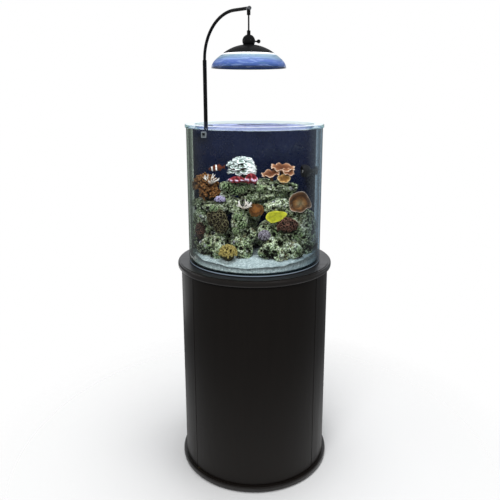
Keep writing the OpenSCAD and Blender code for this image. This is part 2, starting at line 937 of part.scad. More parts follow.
// A neck on the arm's end with a ball on it; the cord hangs from under the neck
module neck_and_ball() {
    at_pole(0) rotate([0, 0, pole_az + 180]) translate([bend_r + arm_straight, 0, arm_top_z]) {
        rotate([0, 90, 0]) cylinder(r = arm_r, h = finial_neck);
        translate([finial_neck, 0, 0]) sphere(r = finial_r);
    }
}

module arm_finial() {
    color([0.55, 0.56, 0.58]) neck_and_ball();
}

// A ball cup: the cord's end ball swings in it, and the cord leaves through the open end
module ball_cup(z_ball, z0, z1, mouth_up) {
    difference() {
        at_hang(z0) cylinder(r = cup_body_r, h = z1 - z0);
        at_hang(z_ball) sphere(r = socket_r);
        at_hang(z_ball) mirror([0, 0, mouth_up ? 0 : 1]) cylinder(r1 = cord_r + 0.1, r2 = cord_r + 3.7, h = 14);
    }
}

module cord_hanger() {
    color(metal_black)
        difference() {
            ball_cup(ball_top_z, hanger_z0, arm_top_z, false);
            neck_and_ball();
        }
}

module pendant_cord() {
    color(metal_black) {
        at_hang(ball_low_z) cylinder(r = cord_r, h = ball_top_z - ball_low_z);
        at_hang(ball_top_z) sphere(r = ball_r);
        at_hang(ball_low_z) sphere(r = ball_r);
    }
}

module hang_straight_cup() {
    color(metal_black) ball_cup(ball_low_z, low_cup_z0, low_cup_z1, true);
}

module switch_housing() {
    color(metal_black)
        difference() {
            union() {
                at_hang(house_z) sphere(r = house_r);
                at_hang(house_z0) cylinder(r = house_neck_r, h = 12);
            }
            at_hang(house_z) sphere(r = house_r - house_wall);
            at_hang(house_z0 - 10) cylinder(r = house_neck_r - house_wall, h = 22);
            at_hang(house_z - house_r - 1) translate([-40, -40, 0]) cube([80, 80, house_z0 - house_z + house_r + 1]);
            at_hang(low_cup_z0) cylinder(r = cup_body_r, h = 20);
            at_hang(key_z) rotate([0, 90, 0]) cylinder(r = key_r + key_gap, h = 40);
        }
}

module switch_key() {
    color(metal_black)
        at_hang(key_z) {
            translate([key_x0, 0, 0]) rotate([0, 90, 0]) cylinder(r = key_r, h = key_x1 - key_x0);
            translate([key_x1 + 3, key_knob_t / 2, 0]) rotate([90, 0, 0]) cylinder(r = key_knob_r, h = key_knob_t);
        }
}

// Section of a spherical skin between two radii from the lamp's axis
module dome_skin(r_in, r_out, t) {
    at_hang(dome_z)
        intersection() {
            difference() {
                sphere(r = dome_r, $fn = 180);
                sphere(r = dome_r - t, $fn = 180);
            }
            difference() {
                cylinder(r = r_out, h = dome_r + 10, $fn = 180);
                translate([0, 0, -1]) cylinder(r = r_in, h = dome_r + 20, $fn = 180);
            }
        }
}

module lamp_cap() {
    color(metal_black) dome_skin(house_neck_r, cap_r, cap_t);
}

// The shade is blown glass: an inner lip under the cap, then a bell that runs out to the rim
function bell_x(a) = cap_r + (shade_r - cap_r) * sin(90 * pow(a, 0.92));
function bell_z(a) = shade_z1 - (shade_z1 - rim_z) * a;

module glass_shade() {
    steps = 14;
    outer = [for (i = [0 : steps]) [bell_x(i / steps), bell_z(i / steps)]];
    inner = [for (i = [steps : -1 : 1])
        [bell_x(i / steps) - shade_t, bell_z(i / steps) - shade_t * (1 - i / steps)]];
    lip = [[cap_r - 4, shade_z1 - shade_t], [holder_r - 8, shade_z1 - shade_t], [holder_r - 8, shade_z1]];
    color([0.45, 0.6, 0.85, 0.9])
        at_hang(0) rotate_extrude($fn = 180) polygon(concat(outer, inner, lip));
}

module shade_holder() {
    color("silver") at_hang(0) ring(holder_r, lampholder_r + hair, shade_z1 - shade_t - holder_t, holder_t);
}

module lampholder() {
    color([0.9, 0.9, 0.88])
        at_hang(0)
            difference() {
                union() {
                    translate([0, 0, lampholder_z0]) cylinder(r = lampholder_r, h = house_z0 - 1 - lampholder_z0);
                    translate([0, 0, house_z0 - 1]) cylinder(r = house_neck_r - house_wall - 1, h = 8);
                }
                translate([0, 0, lampholder_z0 - 1]) cylinder(r = bulb_base_r + hair, h = 25);
            }
}

module bulb() {
    color([1, 0.98, 0.9])
        at_hang(0) {
            translate([0, 0, bulb_z]) sphere(r = bulb_r);
            translate([0, 0, bulb_z]) cylinder(r = bulb_base_r, h = bulb_base_z1 - bulb_z);
        }
}

glide_pads();
base_plate();
assembly_screws();
cabinet_shell();
door_jambs();
cabinet_door();
door_pivot_pins();
door_pivot_bushes();
cabinet_shelf();
shelf_pins();
top_cleats();
stand_top();
push_latch_body();
push_latch_plunger();
strike_plate();
cable_grommet();
tank_mat();
tank_floor();
tank_wall();
top_flange();
rear_partition();
weir_combs();
chamber_baffles();
media_basket();
filter_sponge();
return_pump();
pump_rotor();
return_pipe();
return_nozzle();
heater();
powerhead_mount();
powerhead();
powerhead_propeller();
sand_bed();
rock_left();
rock_right();
rock_arch();
plate_coral();
open_corals();
leather_corals();
hammer_coral();
mushroom_corals();
yellow_corals();
zoanthids();
brown_coral();
pole_collar();
lower_pole();
lock_screw();
curved_arm();
arm_finial();
cord_hanger();
pendant_cord();
hang_straight_cup();
switch_housing();
switch_key();
lamp_cap();
glass_shade();
shade_holder();
lampholder();
bulb();
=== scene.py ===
"""The looks of a cylindrical reef aquarium on its round stand, with a pendant lamp on a curved pole.

Metres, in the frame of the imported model: +Z up, the front of the tank faces -Y.
"""
import math
import random

import bmesh
import bpy
import numpy as np
from mathutils import Matrix, Vector, noise


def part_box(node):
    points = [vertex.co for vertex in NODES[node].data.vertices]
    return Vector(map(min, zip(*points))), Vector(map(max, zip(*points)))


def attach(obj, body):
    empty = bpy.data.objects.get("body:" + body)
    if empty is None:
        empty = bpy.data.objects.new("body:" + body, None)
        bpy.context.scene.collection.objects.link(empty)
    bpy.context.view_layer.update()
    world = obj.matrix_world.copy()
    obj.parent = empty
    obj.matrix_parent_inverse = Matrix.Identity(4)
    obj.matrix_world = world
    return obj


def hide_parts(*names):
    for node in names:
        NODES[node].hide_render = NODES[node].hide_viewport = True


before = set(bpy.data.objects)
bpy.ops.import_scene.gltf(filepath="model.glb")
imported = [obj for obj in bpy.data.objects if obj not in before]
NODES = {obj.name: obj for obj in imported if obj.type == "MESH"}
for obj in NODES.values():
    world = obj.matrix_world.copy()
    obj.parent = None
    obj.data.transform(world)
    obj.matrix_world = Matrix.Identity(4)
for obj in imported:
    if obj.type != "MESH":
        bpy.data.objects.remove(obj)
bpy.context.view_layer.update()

ROOT = "aquarium"

# ---------- camera ----------


def linked(name, data):
    """A new object of the scene with this mesh, light or camera."""
    made = bpy.data.objects.new(name, data)
    bpy.context.scene.collection.objects.link(made)
    return made


CAMERA_AT = (0.0, -2.1, 1.466)
CAMERA_DOWN = math.radians(13.3)

camera = linked("camera", bpy.data.cameras.new("camera"))
camera.data.lens = 40.0
camera.data.sensor_width = 36.0
camera.data.shift_x = -0.009
camera.data.shift_y = -0.05
camera.location = CAMERA_AT
camera.rotation_euler = (math.pi / 2 - CAMERA_DOWN, 0, 0)
bpy.context.scene.camera = camera

# ---------- material helpers ----------


class Shader:
    """A node material with one Principled BSDF, and short calls for the nodes that feed it."""

    def __init__(self, name, color=(0.5, 0.5, 0.5), rough=0.5, metal=0.0, **inputs):
        self.material = bpy.data.materials.new(name)
        self.material.use_nodes = True
        self.tree = self.material.node_tree
        self.bsdf = next(n for n in self.tree.nodes if n.type == "BSDF_PRINCIPLED")
        self.output = next(n for n in self.tree.nodes if n.type == "OUTPUT_MATERIAL")
        self.bsdf.inputs["Base Color"].default_value = (*color, 1)
        self.bsdf.inputs["Roughness"].default_value = rough
        self.bsdf.inputs["Metallic"].default_value = metal
        for key, value in inputs.items():
            socket = key.replace("_", " ").title().replace("Ior", "IOR")
            self.bsdf.inputs[socket].default_value = value
        self.normal = None

    def add(self, kind, **settings):
        node = self.tree.nodes.new("ShaderNode" + kind)
        for key, value in settings.items():
            if key in node.bl_rna.properties:
                setattr(node, key, value)
            else:
                node.inputs[key.replace("_", " ").title()].default_value = value
        return node

    def link(self, a, b):
        self.tree.links.new(a, b)

    def coords(self, scale=(1, 1, 1)):
        mapping = self.add("Mapping")
        mapping.inputs["Scale"].default_value = scale
        self.link(self.add("TexCoord").outputs["Object"], mapping.inputs["Vector"])
        return mapping.outputs["Vector"]

    def place(self, axis):
        """The point's own X, Y or Z, in metres."""
        split = self.add("SeparateXYZ")
        self.link(self.add("TexCoord").outputs["Object"], split.inputs["Vector"])
        return split.outputs[axis]

    def span(self, value, low, high, least=0.0, most=1.0):
        """least where the value is low, most where it is high, and held beyond both."""
        r = self.add("MapRange")
        for name, limit in (("From Min", low), ("From Max", high), ("To Min", least), ("To Max", most)):
            r.inputs[name].default_value = limit
        self.link(value, r.inputs["Value"])
        return r.outputs["Result"]

    def noise(self, scale, detail=4.0, rough=0.55, distortion=0.0, stretch=(1, 1, 1)):
        n = self.add("TexNoise", scale=scale, detail=detail, roughness=rough, distortion=distortion)
        self.link(self.coords(stretch), n.inputs["Vector"])
        return n.outputs["Fac"]

    def cells(self, scale):
        n = self.add("TexVoronoi", scale=scale)
        self.link(self.coords(), n.inputs["Vector"])
        return n.outputs["Distance"]

    def tone(self):
        """The number, from 0 to 1, that new_piece was given for the point."""
        return self.add("Attribute", attribute_name="tone").outputs["Fac"]

    def ramp(self, fac, *stops):
        """Each stop is a place from 0 to 1 and a colour."""
        r = self.add("ValToRGB")
        elements = r.color_ramp.elements
        while len(elements) < len(stops):
            elements.new(1.0)
        for element, (at, color) in zip(elements, stops):
            element.position = at
            element.color = (*color, 1)
        self.link(fac, r.inputs["Fac"])
        return r.outputs["Color"]

    def value_ramp(self, fac, *stops):
        return self.ramp(fac, *[(at, (v, v, v)) for at, v in stops])

    def feed(self, value, socket):
        """Links a socket, or sets a number or a colour."""
        if isinstance(value, bpy.types.NodeSocket):
            self.link(value, socket)
        elif isinstance(value, (int, float)):
            socket.default_value = value
        else:
            socket.default_value = (*value, 1)

    def mix(self, fac, a, b):
        m = self.add("Mix", data_type="RGBA")
        for value, socket in ((fac, m.inputs[0]), (a, m.inputs[6]), (b, m.inputs[7])):
            self.feed(value, socket)
        return m.outputs[2]

    def math(self, how, a, b=0.5):
        m = self.add("Math", operation=how)
        self.feed(a, m.inputs[0])
        self.feed(b, m.inputs[1])
        return m.outputs[0]

    def layer(self, share, under, over):
        """One shader over another, by a share."""
        m = self.add("MixShader")
        for value, socket in zip((share, under, over), m.inputs):
            self.link(value, socket)
        return m.outputs[0]

    def color(self, socket):
        self.link(socket, self.bsdf.inputs["Base Color"])

    def rough(self, socket):
        self.link(socket, self.bsdf.inputs["Roughness"])

    def bump(self, height, strength, distance):
        b = self.add("Bump", strength=strength, distance=distance)
        self.link(height, b.inputs["Height"])
        if self.normal:
            self.link(self.normal, b.inputs["Normal"])
        self.normal = b.outputs["Normal"]
        self.link(self.normal, self.bsdf.inputs["Normal"])


def dress(material, *names):
    for name in names:
        data = NODES[name].data
        data.materials.clear()
        data.materials.append(material)


# ---------- materials of the stand and the lamp ----------

ESPRESSO = (0.0086, 0.0070, 0.0060)


def wood(name, dark, light, rough, coat, grain=(70, 70, 3.2), gloss=0.5):
    """Open-pored wood. grain is how often its streaks repeat along X, Y and Z."""
    s = Shader(name, dark, rough, coat_weight=coat, coat_roughness=0.28, specular_ior_level=gloss)
    streaks = s.noise(1.0, 8, 0.62, 0.6, grain)
    clouds = s.noise(4.0, 3, 0.5)
    tinted = s.ramp(streaks, (0.3, dark), (0.62, light))
    s.color(s.mix(s.value_ramp(clouds, (0.3, 0.0), (0.7, 0.35)), tinted, dark))
    pores = s.noise(1.0, 3, 0.5, 0.2, tuple(4 * g for g in grain))
    s.rough(s.value_ramp(streaks, (0.25, rough - 0.06), (0.75, rough + 0.08)))
    s.bump(pores, 0.12, 0.0004)
    s.bump(streaks, 0.18, 0.0005)
    return s.material


def plastic(name, color, rough=0.45, light=None, grain=1400):
    s = Shader(name, color, rough)
    light = light or tuple(min(1, c * 1.5 + 0.004) for c in color)
    s.color(s.ramp(s.noise(35, 5, 0.6), (0.35, color), (0.7, light)))
    s.rough(s.value_ramp(s.noise(60, 3), (0.3, rough - 0.07), (0.7, rough + 0.09)))
    s.bump(s.noise(grain, 2), 0.12, 0.0002)
    return s.material


def metal(name, color, rough, stretch=(30, 30, 900)):
    s = Shader(name, color, rough, 1.0)
    brushed = s.noise(1.0, 3, 0.6, 0.0, stretch)
    shade = tuple(c * 0.72 for c in color)
    s.color(s.ramp(brushed, (0.3, shade), (0.7, color)))
    s.rough(s.value_ramp(s.noise(50, 4), (0.3, rough * 0.75), (0.7, rough * 1.35)))
    s.bump(brushed, 0.06, 0.0002)
    return s.material


def enamel(name, color):
    rough = 0.28
    s = Shader(name, color, rough, coat_weight=0.1, coat_roughness=0.15, specular_ior_level=0.25)
    dusty = tuple(c * 1.8 for c in color)
    s.color(s.ramp(s.noise(22, 6, 0.6), (0.42, color), (0.72, dusty)))
    s.rough(s.value_ramp(s.noise(70, 4), (0.3, rough - 0.05), (0.7, rough + 0.1)))
    s.bump(s.noise(420, 2), 0.08, 0.0003)
    return s.material


dress(wood("espresso_upright", ESPRESSO, (0.0105, 0.0084, 0.0070), 0.42, 0.03, gloss=0.16),
      "cabinet_shell", "cabinet_door", "door_jambs")
dress(wood("espresso_turned", ESPRESSO, (0.0115, 0.0090, 0.0076), 0.34, 0.22, (9, 60, 60), 0.4),
      "base_plate", "stand_top")
dress(wood("shelf_board", (0.03, 0.023, 0.018), (0.055, 0.042, 0.032), 0.5, 0.1, (6, 60, 60)),
      "cabinet_shelf")
dress(wood("bare_wood", (0.34, 0.22, 0.12), (0.55, 0.39, 0.23), 0.62, 0.0, (14, 14, 60)), "top_cleats")
dress(metal("zinc_steel", (0.60, 0.60, 0.61), 0.3), "assembly_screws", "door_pivot_pins", "shelf_pins",
      "strike_plate", "shade_holder")
dress(metal("turned_brass", (0.70, 0.50, 0.22), 0.3), "door_pivot_bushes")
dress(metal("polished_grey", (0.50, 0.51, 0.53), 0.2, (200, 200, 200)), "arm_finial")
dress(plastic("black_moulding", (0.007, 0.007, 0.008)), "push_latch_body", "cable_grommet", "media_basket",
      "return_pump", "return_pipe", "powerhead_mount", "powerhead", "heater")
dress(plastic("pale_moulding", (0.62, 0.62, 0.59), 0.4, (0.74, 0.74, 0.72)), "push_latch_plunger",
      "pump_rotor", "powerhead_propeller")
dress(plastic("grey_moulding", (0.20, 0.22, 0.23), 0.4, (0.27, 0.29, 0.30)), "return_nozzle")
dress(plastic("foamed_rubber", (0.02, 0.02, 0.022), 0.8, grain=700), "glide_pads", "tank_mat")
dress(plastic("navy_trim", (0.012, 0.015, 0.035), 0.3), "weir_combs", "chamber_baffles")
dress(enamel("black_enamel", (0.0025, 0.0025, 0.0028)), "pole_collar", "lower_pole", "lock_screw",
      "curved_arm", "cord_hanger", "hang_straight_cup", "switch_housing", "switch_key", "lamp_cap")
dress(plastic("cord_sheath", (0.010, 0.010, 0.011), 0.5, grain=2500), "pendant_cord")
dress(plastic("glazed_porcelain", (0.70, 0.69, 0.64), 0.14, (0.80, 0.79, 0.75), 200), "lampholder")


def sponge():
    s = Shader("blue_sponge", (0.03, 0.09, 0.28), 0.9)
    pores = s.cells(420)
    s.color(s.ramp(pores, (0.1, (0.006, 0.02, 0.08)), (0.5, (0.04, 0.12, 0.34))))
    s.bump(pores, 0.8, 0.002)
    return s.material


dress(sponge(), "filter_sponge")


def opal_bulb():
    s = Shader("opal_bulb", (0.30, 0.38, 0.62), 0.25)
    s.color(s.ramp(s.noise(60, 3), (0.3, (0.16, 0.22, 0.44)), (0.7, (0.24, 0.31, 0.54))))
    s.bsdf.inputs["Emission Color"].default_value = (0.30, 0.40, 0.80, 1)
    s.bsdf.inputs["Emission Strength"].default_value = 0.10
    return s.material


dress(opal_bulb(), "bulb")


def navy_panel():
    s = Shader("navy_panel", (0.010, 0.016, 0.055), 0.22, coat_weight=0.3, coat_roughness=0.05)
    clouds = s.noise(9, 6, 0.65, 0.4)
    s.color(s.ramp(clouds, (0.35, (0.0042, 0.0080, 0.028)), (0.72, (0.0090, 0.0150, 0.048))))
    s.rough(s.value_ramp(s.noise(30, 4), (0.3, 0.18), (0.7, 0.34)))
    s.bump(s.noise(16, 3), 0.06, 0.001)
    return s.material


dress(navy_panel(), "rear_partition")


def blue_alabaster():
    """Blown glass: white under the cap, then blue with pale wisps round the bell, darker to the rim. It glows
    faintly in these colours: painted light of the bulb through the glass.
    """
    s = Shader("blue_alabaster", (0.25, 0.4, 0.75), 0.3, coat_weight=0.12, coat_roughness=0.2)
    low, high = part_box("glass_shade")
    level = s.span(s.place("Z"), low.z, high.z)
    drift = s.math("MULTIPLY", s.math("SUBTRACT", s.noise(7, 3, 0.5, 0.8, (1, 1, 3.0)), 0.5), 0.40)
    body = s.ramp(s.math("ADD", level, drift), (0.0, (0.028, 0.062, 0.20)), (0.22, (0.055, 0.105, 0.33)),
                  (0.42, (0.088, 0.140, 0.37)), (0.60, (0.15, 0.23, 0.37)), (0.85, (0.25, 0.34, 0.36)))
    wisps = s.noise(10, 4, 0.5, 2.2, (1, 1, 9.0))
    veined = s.mix(s.value_ramp(wisps, (0.52, 0.0), (0.62, 0.45)), body, (0.26, 0.37, 0.60))
    veined = s.mix(s.value_ramp(wisps, (0.37, 0.7), (0.45, 0.0)), veined, (0.07, 0.14, 0.24))
    veined = s.mix(s.value_ramp(level, (0.02, 0.9), (0.07, 0.0)), veined, (0.010, 0.020, 0.050))
    veined = s.mix(s.value_ramp(level, (0.86, 0.0), (0.93, 1.0)), veined, (0.95, 0.96, 1.0))
    s.color(veined)
    # painted glow: the shade's colours, lit as if by the bulb inside
    s.link(veined, s.bsdf.inputs["Emission Color"])
    s.bsdf.inputs["Emission Strength"].default_value = 0.12
    s.bump(wisps, 0.12, 0.0008)
    return s.material


dress(blue_alabaster(), "glass_shade")

# ---------- clear acrylic and water ----------


def clear(name, middle, edge, gloss_tint=(1, 1, 1), rough=0.02, wobble=None, least=0.04, most=0.9,
          power=4.5, right_edge=None, edge_highlight=None):
    """Clear sheet: a tinted film, denser towards its outline, under a gloss that rises with the angle.

    wobble is the scale, strength and depth of waves in the gloss. right_edge is another outline colour for
    the
    +X side, a painted reflection of the light on that side. edge_highlight is a height and the colour of a
    painted highlight on the polish of the bottom edge below it.
    """
    s = Shader(name)
    s.tree.nodes.remove(s.bsdf)
    facing = s.add("LayerWeight", blend=0.5).outputs["Facing"]
    between = tuple((m + 2 * e) / 3 for m, e in zip(middle, edge))
    tint = s.ramp(facing, (0.45, middle), (0.80, between), (0.97, edge))
    # the +X side takes another outline colour: a painted reflection of the light on that side
    if right_edge:
        right = s.ramp(facing, (0.35, middle), (0.97, right_edge))
        side = s.value_ramp(s.math("ADD", s.place("X"), 0.5), (0.45, 0.0), (0.55, 1.0))
        tint = s.mix(side, tint, right)
    film = s.add("BsdfTransparent")
    s.link(tint, film.inputs["Color"])
    gloss = s.add("BsdfGlossy", roughness=rough)
    gloss.inputs["Color"].default_value = (*gloss_tint, 1)
    if wobble:
        scale, strength, distance = wobble
        waves = s.add("Bump", strength=strength, distance=distance)
        s.link(s.noise(scale, 3, 0.5, 0.3), waves.inputs["Height"])
        s.link(waves.outputs["Normal"], gloss.inputs["Normal"])
    gain = s.span(s.math("POWER", facing, power), 0.0, 1.0, least, most)
    surface = s.layer(gain, film.outputs[0], gloss.outputs[0])
    # painted highlight: a pale band along the polished bottom edge
    if edge_highlight:
        level, color = edge_highlight
        fade, cover = 0.0015, 0.85
        pale = s.add("BsdfDiffuse")
        pale.inputs["Color"].default_value = (*color, 1)
        polished_highlight = s.span(s.place("Z"), level, level - fade, 0.0, cover)
        surface = s.layer(polished_highlight, surface, pale.outputs[0])
    s.link(surface, s.output.inputs["Surface"])
    return s.material


# the height below which the tank floor's edge carries a painted highlight
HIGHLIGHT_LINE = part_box("tank_floor")[0].z + 0.0045
dress(clear("clear_wall", (0.985, 0.995, 0.995), (0.16, 0.24, 0.16), wobble=(6, 0.05, 0.002), least=0.006,
            most=0.7, right_edge=(0.22, 0.34, 0.42)), "tank_wall")
dress(clear("clear_flange", (0.90, 0.955, 0.96), (0.50, 0.70, 0.72), wobble=(12, 0.05, 0.002)), "top_flange")
dress(clear("clear_floor", (0.16, 0.32, 0.40), (0.05, 0.14, 0.20), edge_highlight=(HIGHLIGHT_LINE, (0.36, 0.46, 0.56))),
      "tank_floor")
# the violet tints of the water's gloss and outline are painted reflection of the blue lamp shade
WATER = clear("water", (0.93, 0.95, 0.99), (0.66, 0.68, 0.90), (0.62, 0.62, 0.95), 0.03,
              (22, 0.35, 0.004), 0.03, 0.8, 3.0)

# ---------- mesh helpers ----------


def new_piece(name, verts, faces, material, tones=None):
    """A smooth visible piece of the aquarium. tones is one number for each point, for its material."""
    mesh = bpy.data.meshes.new(name)
    mesh.from_pydata([tuple(v) for v in verts], [], faces)
    mesh.materials.append(material)
    if tones is not None:
        mesh.attributes.new("tone", "FLOAT", "POINT").data.foreach_set("value", tones)
    mesh.polygons.foreach_set("use_smooth", [True] * len(mesh.polygons))
    mesh.update()
    piece = linked(name, mesh)
    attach(piece, ROOT)
    return piece


def circle(count):
    """The angles of an even ring of points."""
    return [2 * math.pi * k / count for k in range(count)]


def ring(start, count):
    """The face that closes the ring of points from start on."""
    return tuple(range(start, start + count))


def flipped(faces):
    return [tuple(reversed(face)) for face in faces]


def grid_faces(rows, columns, start=0):
    """Quads between rings of points that follow one another, each ring closed."""
    return [(start + r * columns + c, start + r * columns + (c + 1) % columns,
             start + (r + 1) * columns + (c + 1) % columns, start + (r + 1) * columns + c)
            for r in range(rows - 1) for c in range(columns)]


def rim_faces(first, second, count):
    """Quads between the last rings of two layers."""
    return [(first + k, second + k, second + (k + 1) % count, first + (k + 1) % count) for k in range(count)]


def turned_to(normal):
    return Vector((0, 0, 1)).rotation_difference(Vector(normal).normalized()).to_matrix()


def hoop(at, turn, radius, around):
    """A ring of points about at, square to turn's own Z."""
    return [at + turn @ Vector((math.cos(a), math.sin(a), 0)) * radius for a in circle(around)]


def direction(angle, rise):
    """The unit vector with this Z, turned by the angle about +Z."""
    flat = math.sqrt(max(0.0, 1 - rise * rise))
    return Vector((flat * math.cos(angle), flat * math.sin(angle), rise))


def on_ellipsoid(centre, radii, d, swell=1.0):
    return Vector(centre) + Vector(d[k] * radii[k] * swell for k in range(3))


def unit(value):
    return min(1.0, max(0.0, value))


# ---------- live rock ----------

TANK_LOW, TANK_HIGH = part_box("tank_wall")
WALL = 0.008
TANK_RADIUS = TANK_HIGH.x - WALL
ROCK_GAP, SAND_GAP, WATER_GAP = 0.002, 0.0006, 0.0008  # clear of the wall
VOXEL = 0.0028
LUMP, PIT = 0.0090, 0.0062


def solid_from(balls, base):
    """Points, normals and faces of the fused skin of a CAD node and of balls (centre, radii)."""
    bm = bmesh.new()
    bm.from_mesh(NODES[base].data)
    for centre, radii in balls:
        shape = Matrix.Translation(centre) @ Matrix.Diagonal((*radii, 1))
        bmesh.ops.create_icosphere(bm, subdivisions=3, radius=1.0, matrix=shape)
    mesh = bpy.data.meshes.new("raw")
    bm.to_mesh(mesh)
    bm.free()
    raw = linked("raw", mesh)
    remesh = raw.modifiers.new("fuse", "REMESH")
    remesh.mode = "VOXEL"
    remesh.voxel_size = VOXEL
    done = raw.evaluated_get(bpy.context.evaluated_depsgraph_get()).to_mesh()
    points, normals = np.zeros(len(done.vertices) * 3), np.zeros(len(done.vertices) * 3)
    done.vertices.foreach_get("co", points)
    done.vertices.foreach_get("normal", normals)
    faces = [tuple(p.vertices) for p in done.polygons]
    bpy.data.objects.remove(raw)
    return points.reshape(-1, 3), normals.reshape(-1, 3), faces


def pitted(q, scale, reach):
    """1 in the middle of each round pit, 0 outside the pits."""
    return max(0.0, reach - noise.voronoi(q * scale)[0][0]) / reach


def weathered_and_shaded(points, normals, seed):
    """Moves points along their normals: lumps, smaller knobs and round pits. Also gives each one's tone.

    The tone is painted light and shade: higher on the lumps, low in the pits, and low at the back of the rock
    below the arch.
    """
    shift = Vector((seed * 7.1, seed * 3.7, seed * 5.3))
    out, tones = [], []
    for point, normal in zip(points, normals):
        p = Vector(point)
        q = p + shift
        big = noise.noise(q * 24) * LUMP
        small = noise.fractal(q * 75, 0.9, 2.0, 3, noise_basis="PERLIN_ORIGINAL") * LUMP * 0.55
        caves, holes, pores = pitted(q, 38, 0.36), pitted(q, 84, 0.40), pitted(q, 210, 0.40)
        sunk = PIT * (1.3 * caves ** 0.8 + 0.8 * holes ** 0.8 + 0.2 * pores)
        out.append(p + Vector(normal) * (big + small - sunk))
        # painted light and shade: lighter on the lumps, darker in the pits and at the back below the arch
        shade = 0.60 + (big + small) / LUMP * 0.45 - sunk / PIT * 0.62
        painted_cave_shade = unit(p.y / 0.05) * unit((1.0 - p.z) / 0.05)
        tones.append(unit(shade - 0.6 * painted_cave_shade))
    return out, tones


def keep_in_tank(points):
    limit = TANK_RADIUS - ROCK_GAP
    for p in points:
        reach = math.hypot(p.x, p.y)
        if reach > limit:
            p.x *= limit / reach
            p.y *= limit / reach
    return points


def live_rock_material():
    s = Shader("live_rock", (0.2, 0.2, 0.15), 0.85, specular_ior_level=0.1)
    # depth is the tone of each point: painted light and shade from its relief
    depth = s.tone()
    base = s.ramp(s.noise(58, 7, 0.76, 0.6), (0.34, (0.010, 0.012, 0.004)), (0.42, (0.13, 0.15, 0.060)),
                  (0.49, (0.35, 0.43, 0.20)), (0.55, (0.62, 0.76, 0.46)), (0.63, (0.96, 1.0, 0.84)))
    green = s.mix(s.value_ramp(s.noise(17, 4, 0.6), (0.50, 0.0), (0.60, 0.55)), base, (0.17, 0.30, 0.10))
    rust = s.mix(s.value_ramp(s.noise(26, 4, 0.6, 0.3), (0.56, 0.0), (0.64, 0.6)), green, (0.20, 0.11, 0.045))
    lilac = s.mix(s.value_ramp(s.cells(21), (0.10, 0.75), (0.24, 0.0)), rust, (0.36, 0.30, 0.48))
    fleck = s.mix(s.value_ramp(s.noise(240, 4, 0.7), (0.50, 0.0), (0.62, 0.8)), lilac, (0.72, 0.80, 0.70))
    dots = s.value_ramp(s.noise(190, 4, 0.7, 0.5), (0.36, 0.9), (0.46, 0.0))
    speck = s.mix(dots, fleck, (0.005, 0.006, 0.003))
    # painted highlight: pale on the high knobs
    knobs = s.mix(s.value_ramp(depth, (0.70, 0.0), (0.90, 0.6)), speck, (0.88, 0.96, 0.84))
    grain = s.cells(165)
    # painted shade in the small sunken gaps of the grain
    gaps = s.mix(s.value_ramp(grain, (0.44, 0.0), (0.66, 0.8)), knobs, (0.006, 0.008, 0.003))
    # painted shade: near black in the pits and at the back below the arch
    s.color(s.mix(s.value_ramp(depth, (0.26, 0.98), (0.52, 0.0)), gaps, (0.002, 0.002, 0.001)))
    s.bump(s.noise(320, 5, 0.7), 0.7, 0.0018)
    s.bump(s.math("SUBTRACT", 1.0, grain), 0.5, 0.002)
    return s.material


LIVE_ROCK = live_rock_material()
# each stone has the seed of its weathering and the outcrops (centre, radii) that are added to its CAD solid
STONES = {
    "rock_left": (11, [
        ((-0.205, -0.005, 1.058), (0.036, 0.055, 0.016)), ((-0.150, -0.045, 1.052), (0.062, 0.05, 0.022)),
        ((-0.200, 0.005, 0.960), (0.040, 0.06, 0.060)), ((-0.150, -0.055, 0.925), (0.05, 0.05, 0.050)),
        ((-0.085, -0.045, 1.068), (0.04, 0.04, 0.020)), ((-0.195, -0.030, 1.010), (0.04, 0.04, 0.040)),
        ((-0.215, -0.015, 0.910), (0.030, 0.05, 0.040)), ((-0.175, -0.090, 0.905), (0.04, 0.04, 0.034)),
        ((-0.135, -0.125, 0.893), (0.034, 0.03, 0.028))]),
    "rock_right": (23, [
        ((0.052, -0.140, 0.900), (0.036, 0.03, 0.034)), ((0.098, -0.152, 0.893), (0.04, 0.03, 0.030)),
        ((0.046, -0.095, 0.975), (0.032, 0.03, 0.034)), ((0.178, -0.065, 0.955), (0.040, 0.04, 0.050)),
        ((0.205, -0.030, 0.955), (0.030, 0.05, 0.075)), ((0.148, -0.142, 0.900), (0.034, 0.03, 0.034)),
        ((0.190, -0.045, 1.015), (0.034, 0.04, 0.028)), ((0.060, -0.060, 1.050), (0.03, 0.03, 0.022)),
        ((0.100, -0.055, 1.062), (0.04, 0.03, 0.020)), ((0.140, -0.060, 1.040), (0.03, 0.03, 0.030)),
        ((0.190, -0.085, 0.900), (0.032, 0.03, 0.034)), ((0.135, -0.100, 0.975), (0.035, 0.03, 0.035))]),
    "rock_arch": (37, [
        ((-0.055, -0.085, 0.995), (0.030, 0.025, 0.060)), ((-0.040, -0.128, 0.900), (0.034, 0.03, 0.034)),
        ((-0.012, -0.095, 0.955), (0.022, 0.03, 0.028)), ((-0.088, -0.035, 1.128), (0.045, 0.04, 0.020)),
        ((0.010, -0.040, 1.130), (0.05, 0.035, 0.020)), ((0.080, -0.035, 1.125), (0.05, 0.035, 0.022)),
        ((0.135, -0.020, 1.122), (0.030, 0.03, 0.018)), ((0.040, -0.035, 1.094), (0.045, 0.03, 0.020)),
        ((-0.020, -0.035, 1.085), (0.045, 0.03, 0.022)), ((0.000, -0.055, 1.030), (0.028, 0.03, 0.030)),
        ((-0.070, -0.060, 1.060), (0.03, 0.03, 0.030)), ((-0.100, -0.040, 1.095), (0.03, 0.03, 0.025))]),
}
for node, (seed, outcrops) in STONES.items():
    points, normals, faces = solid_from(outcrops, node)
    points, tones = weathered_and_shaded(points, normals, seed)
    rock = new_piece(node + "_stone", keep_in_tank(points), faces, LIVE_ROCK, tones)
    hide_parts(node)

# ---------- sand ----------

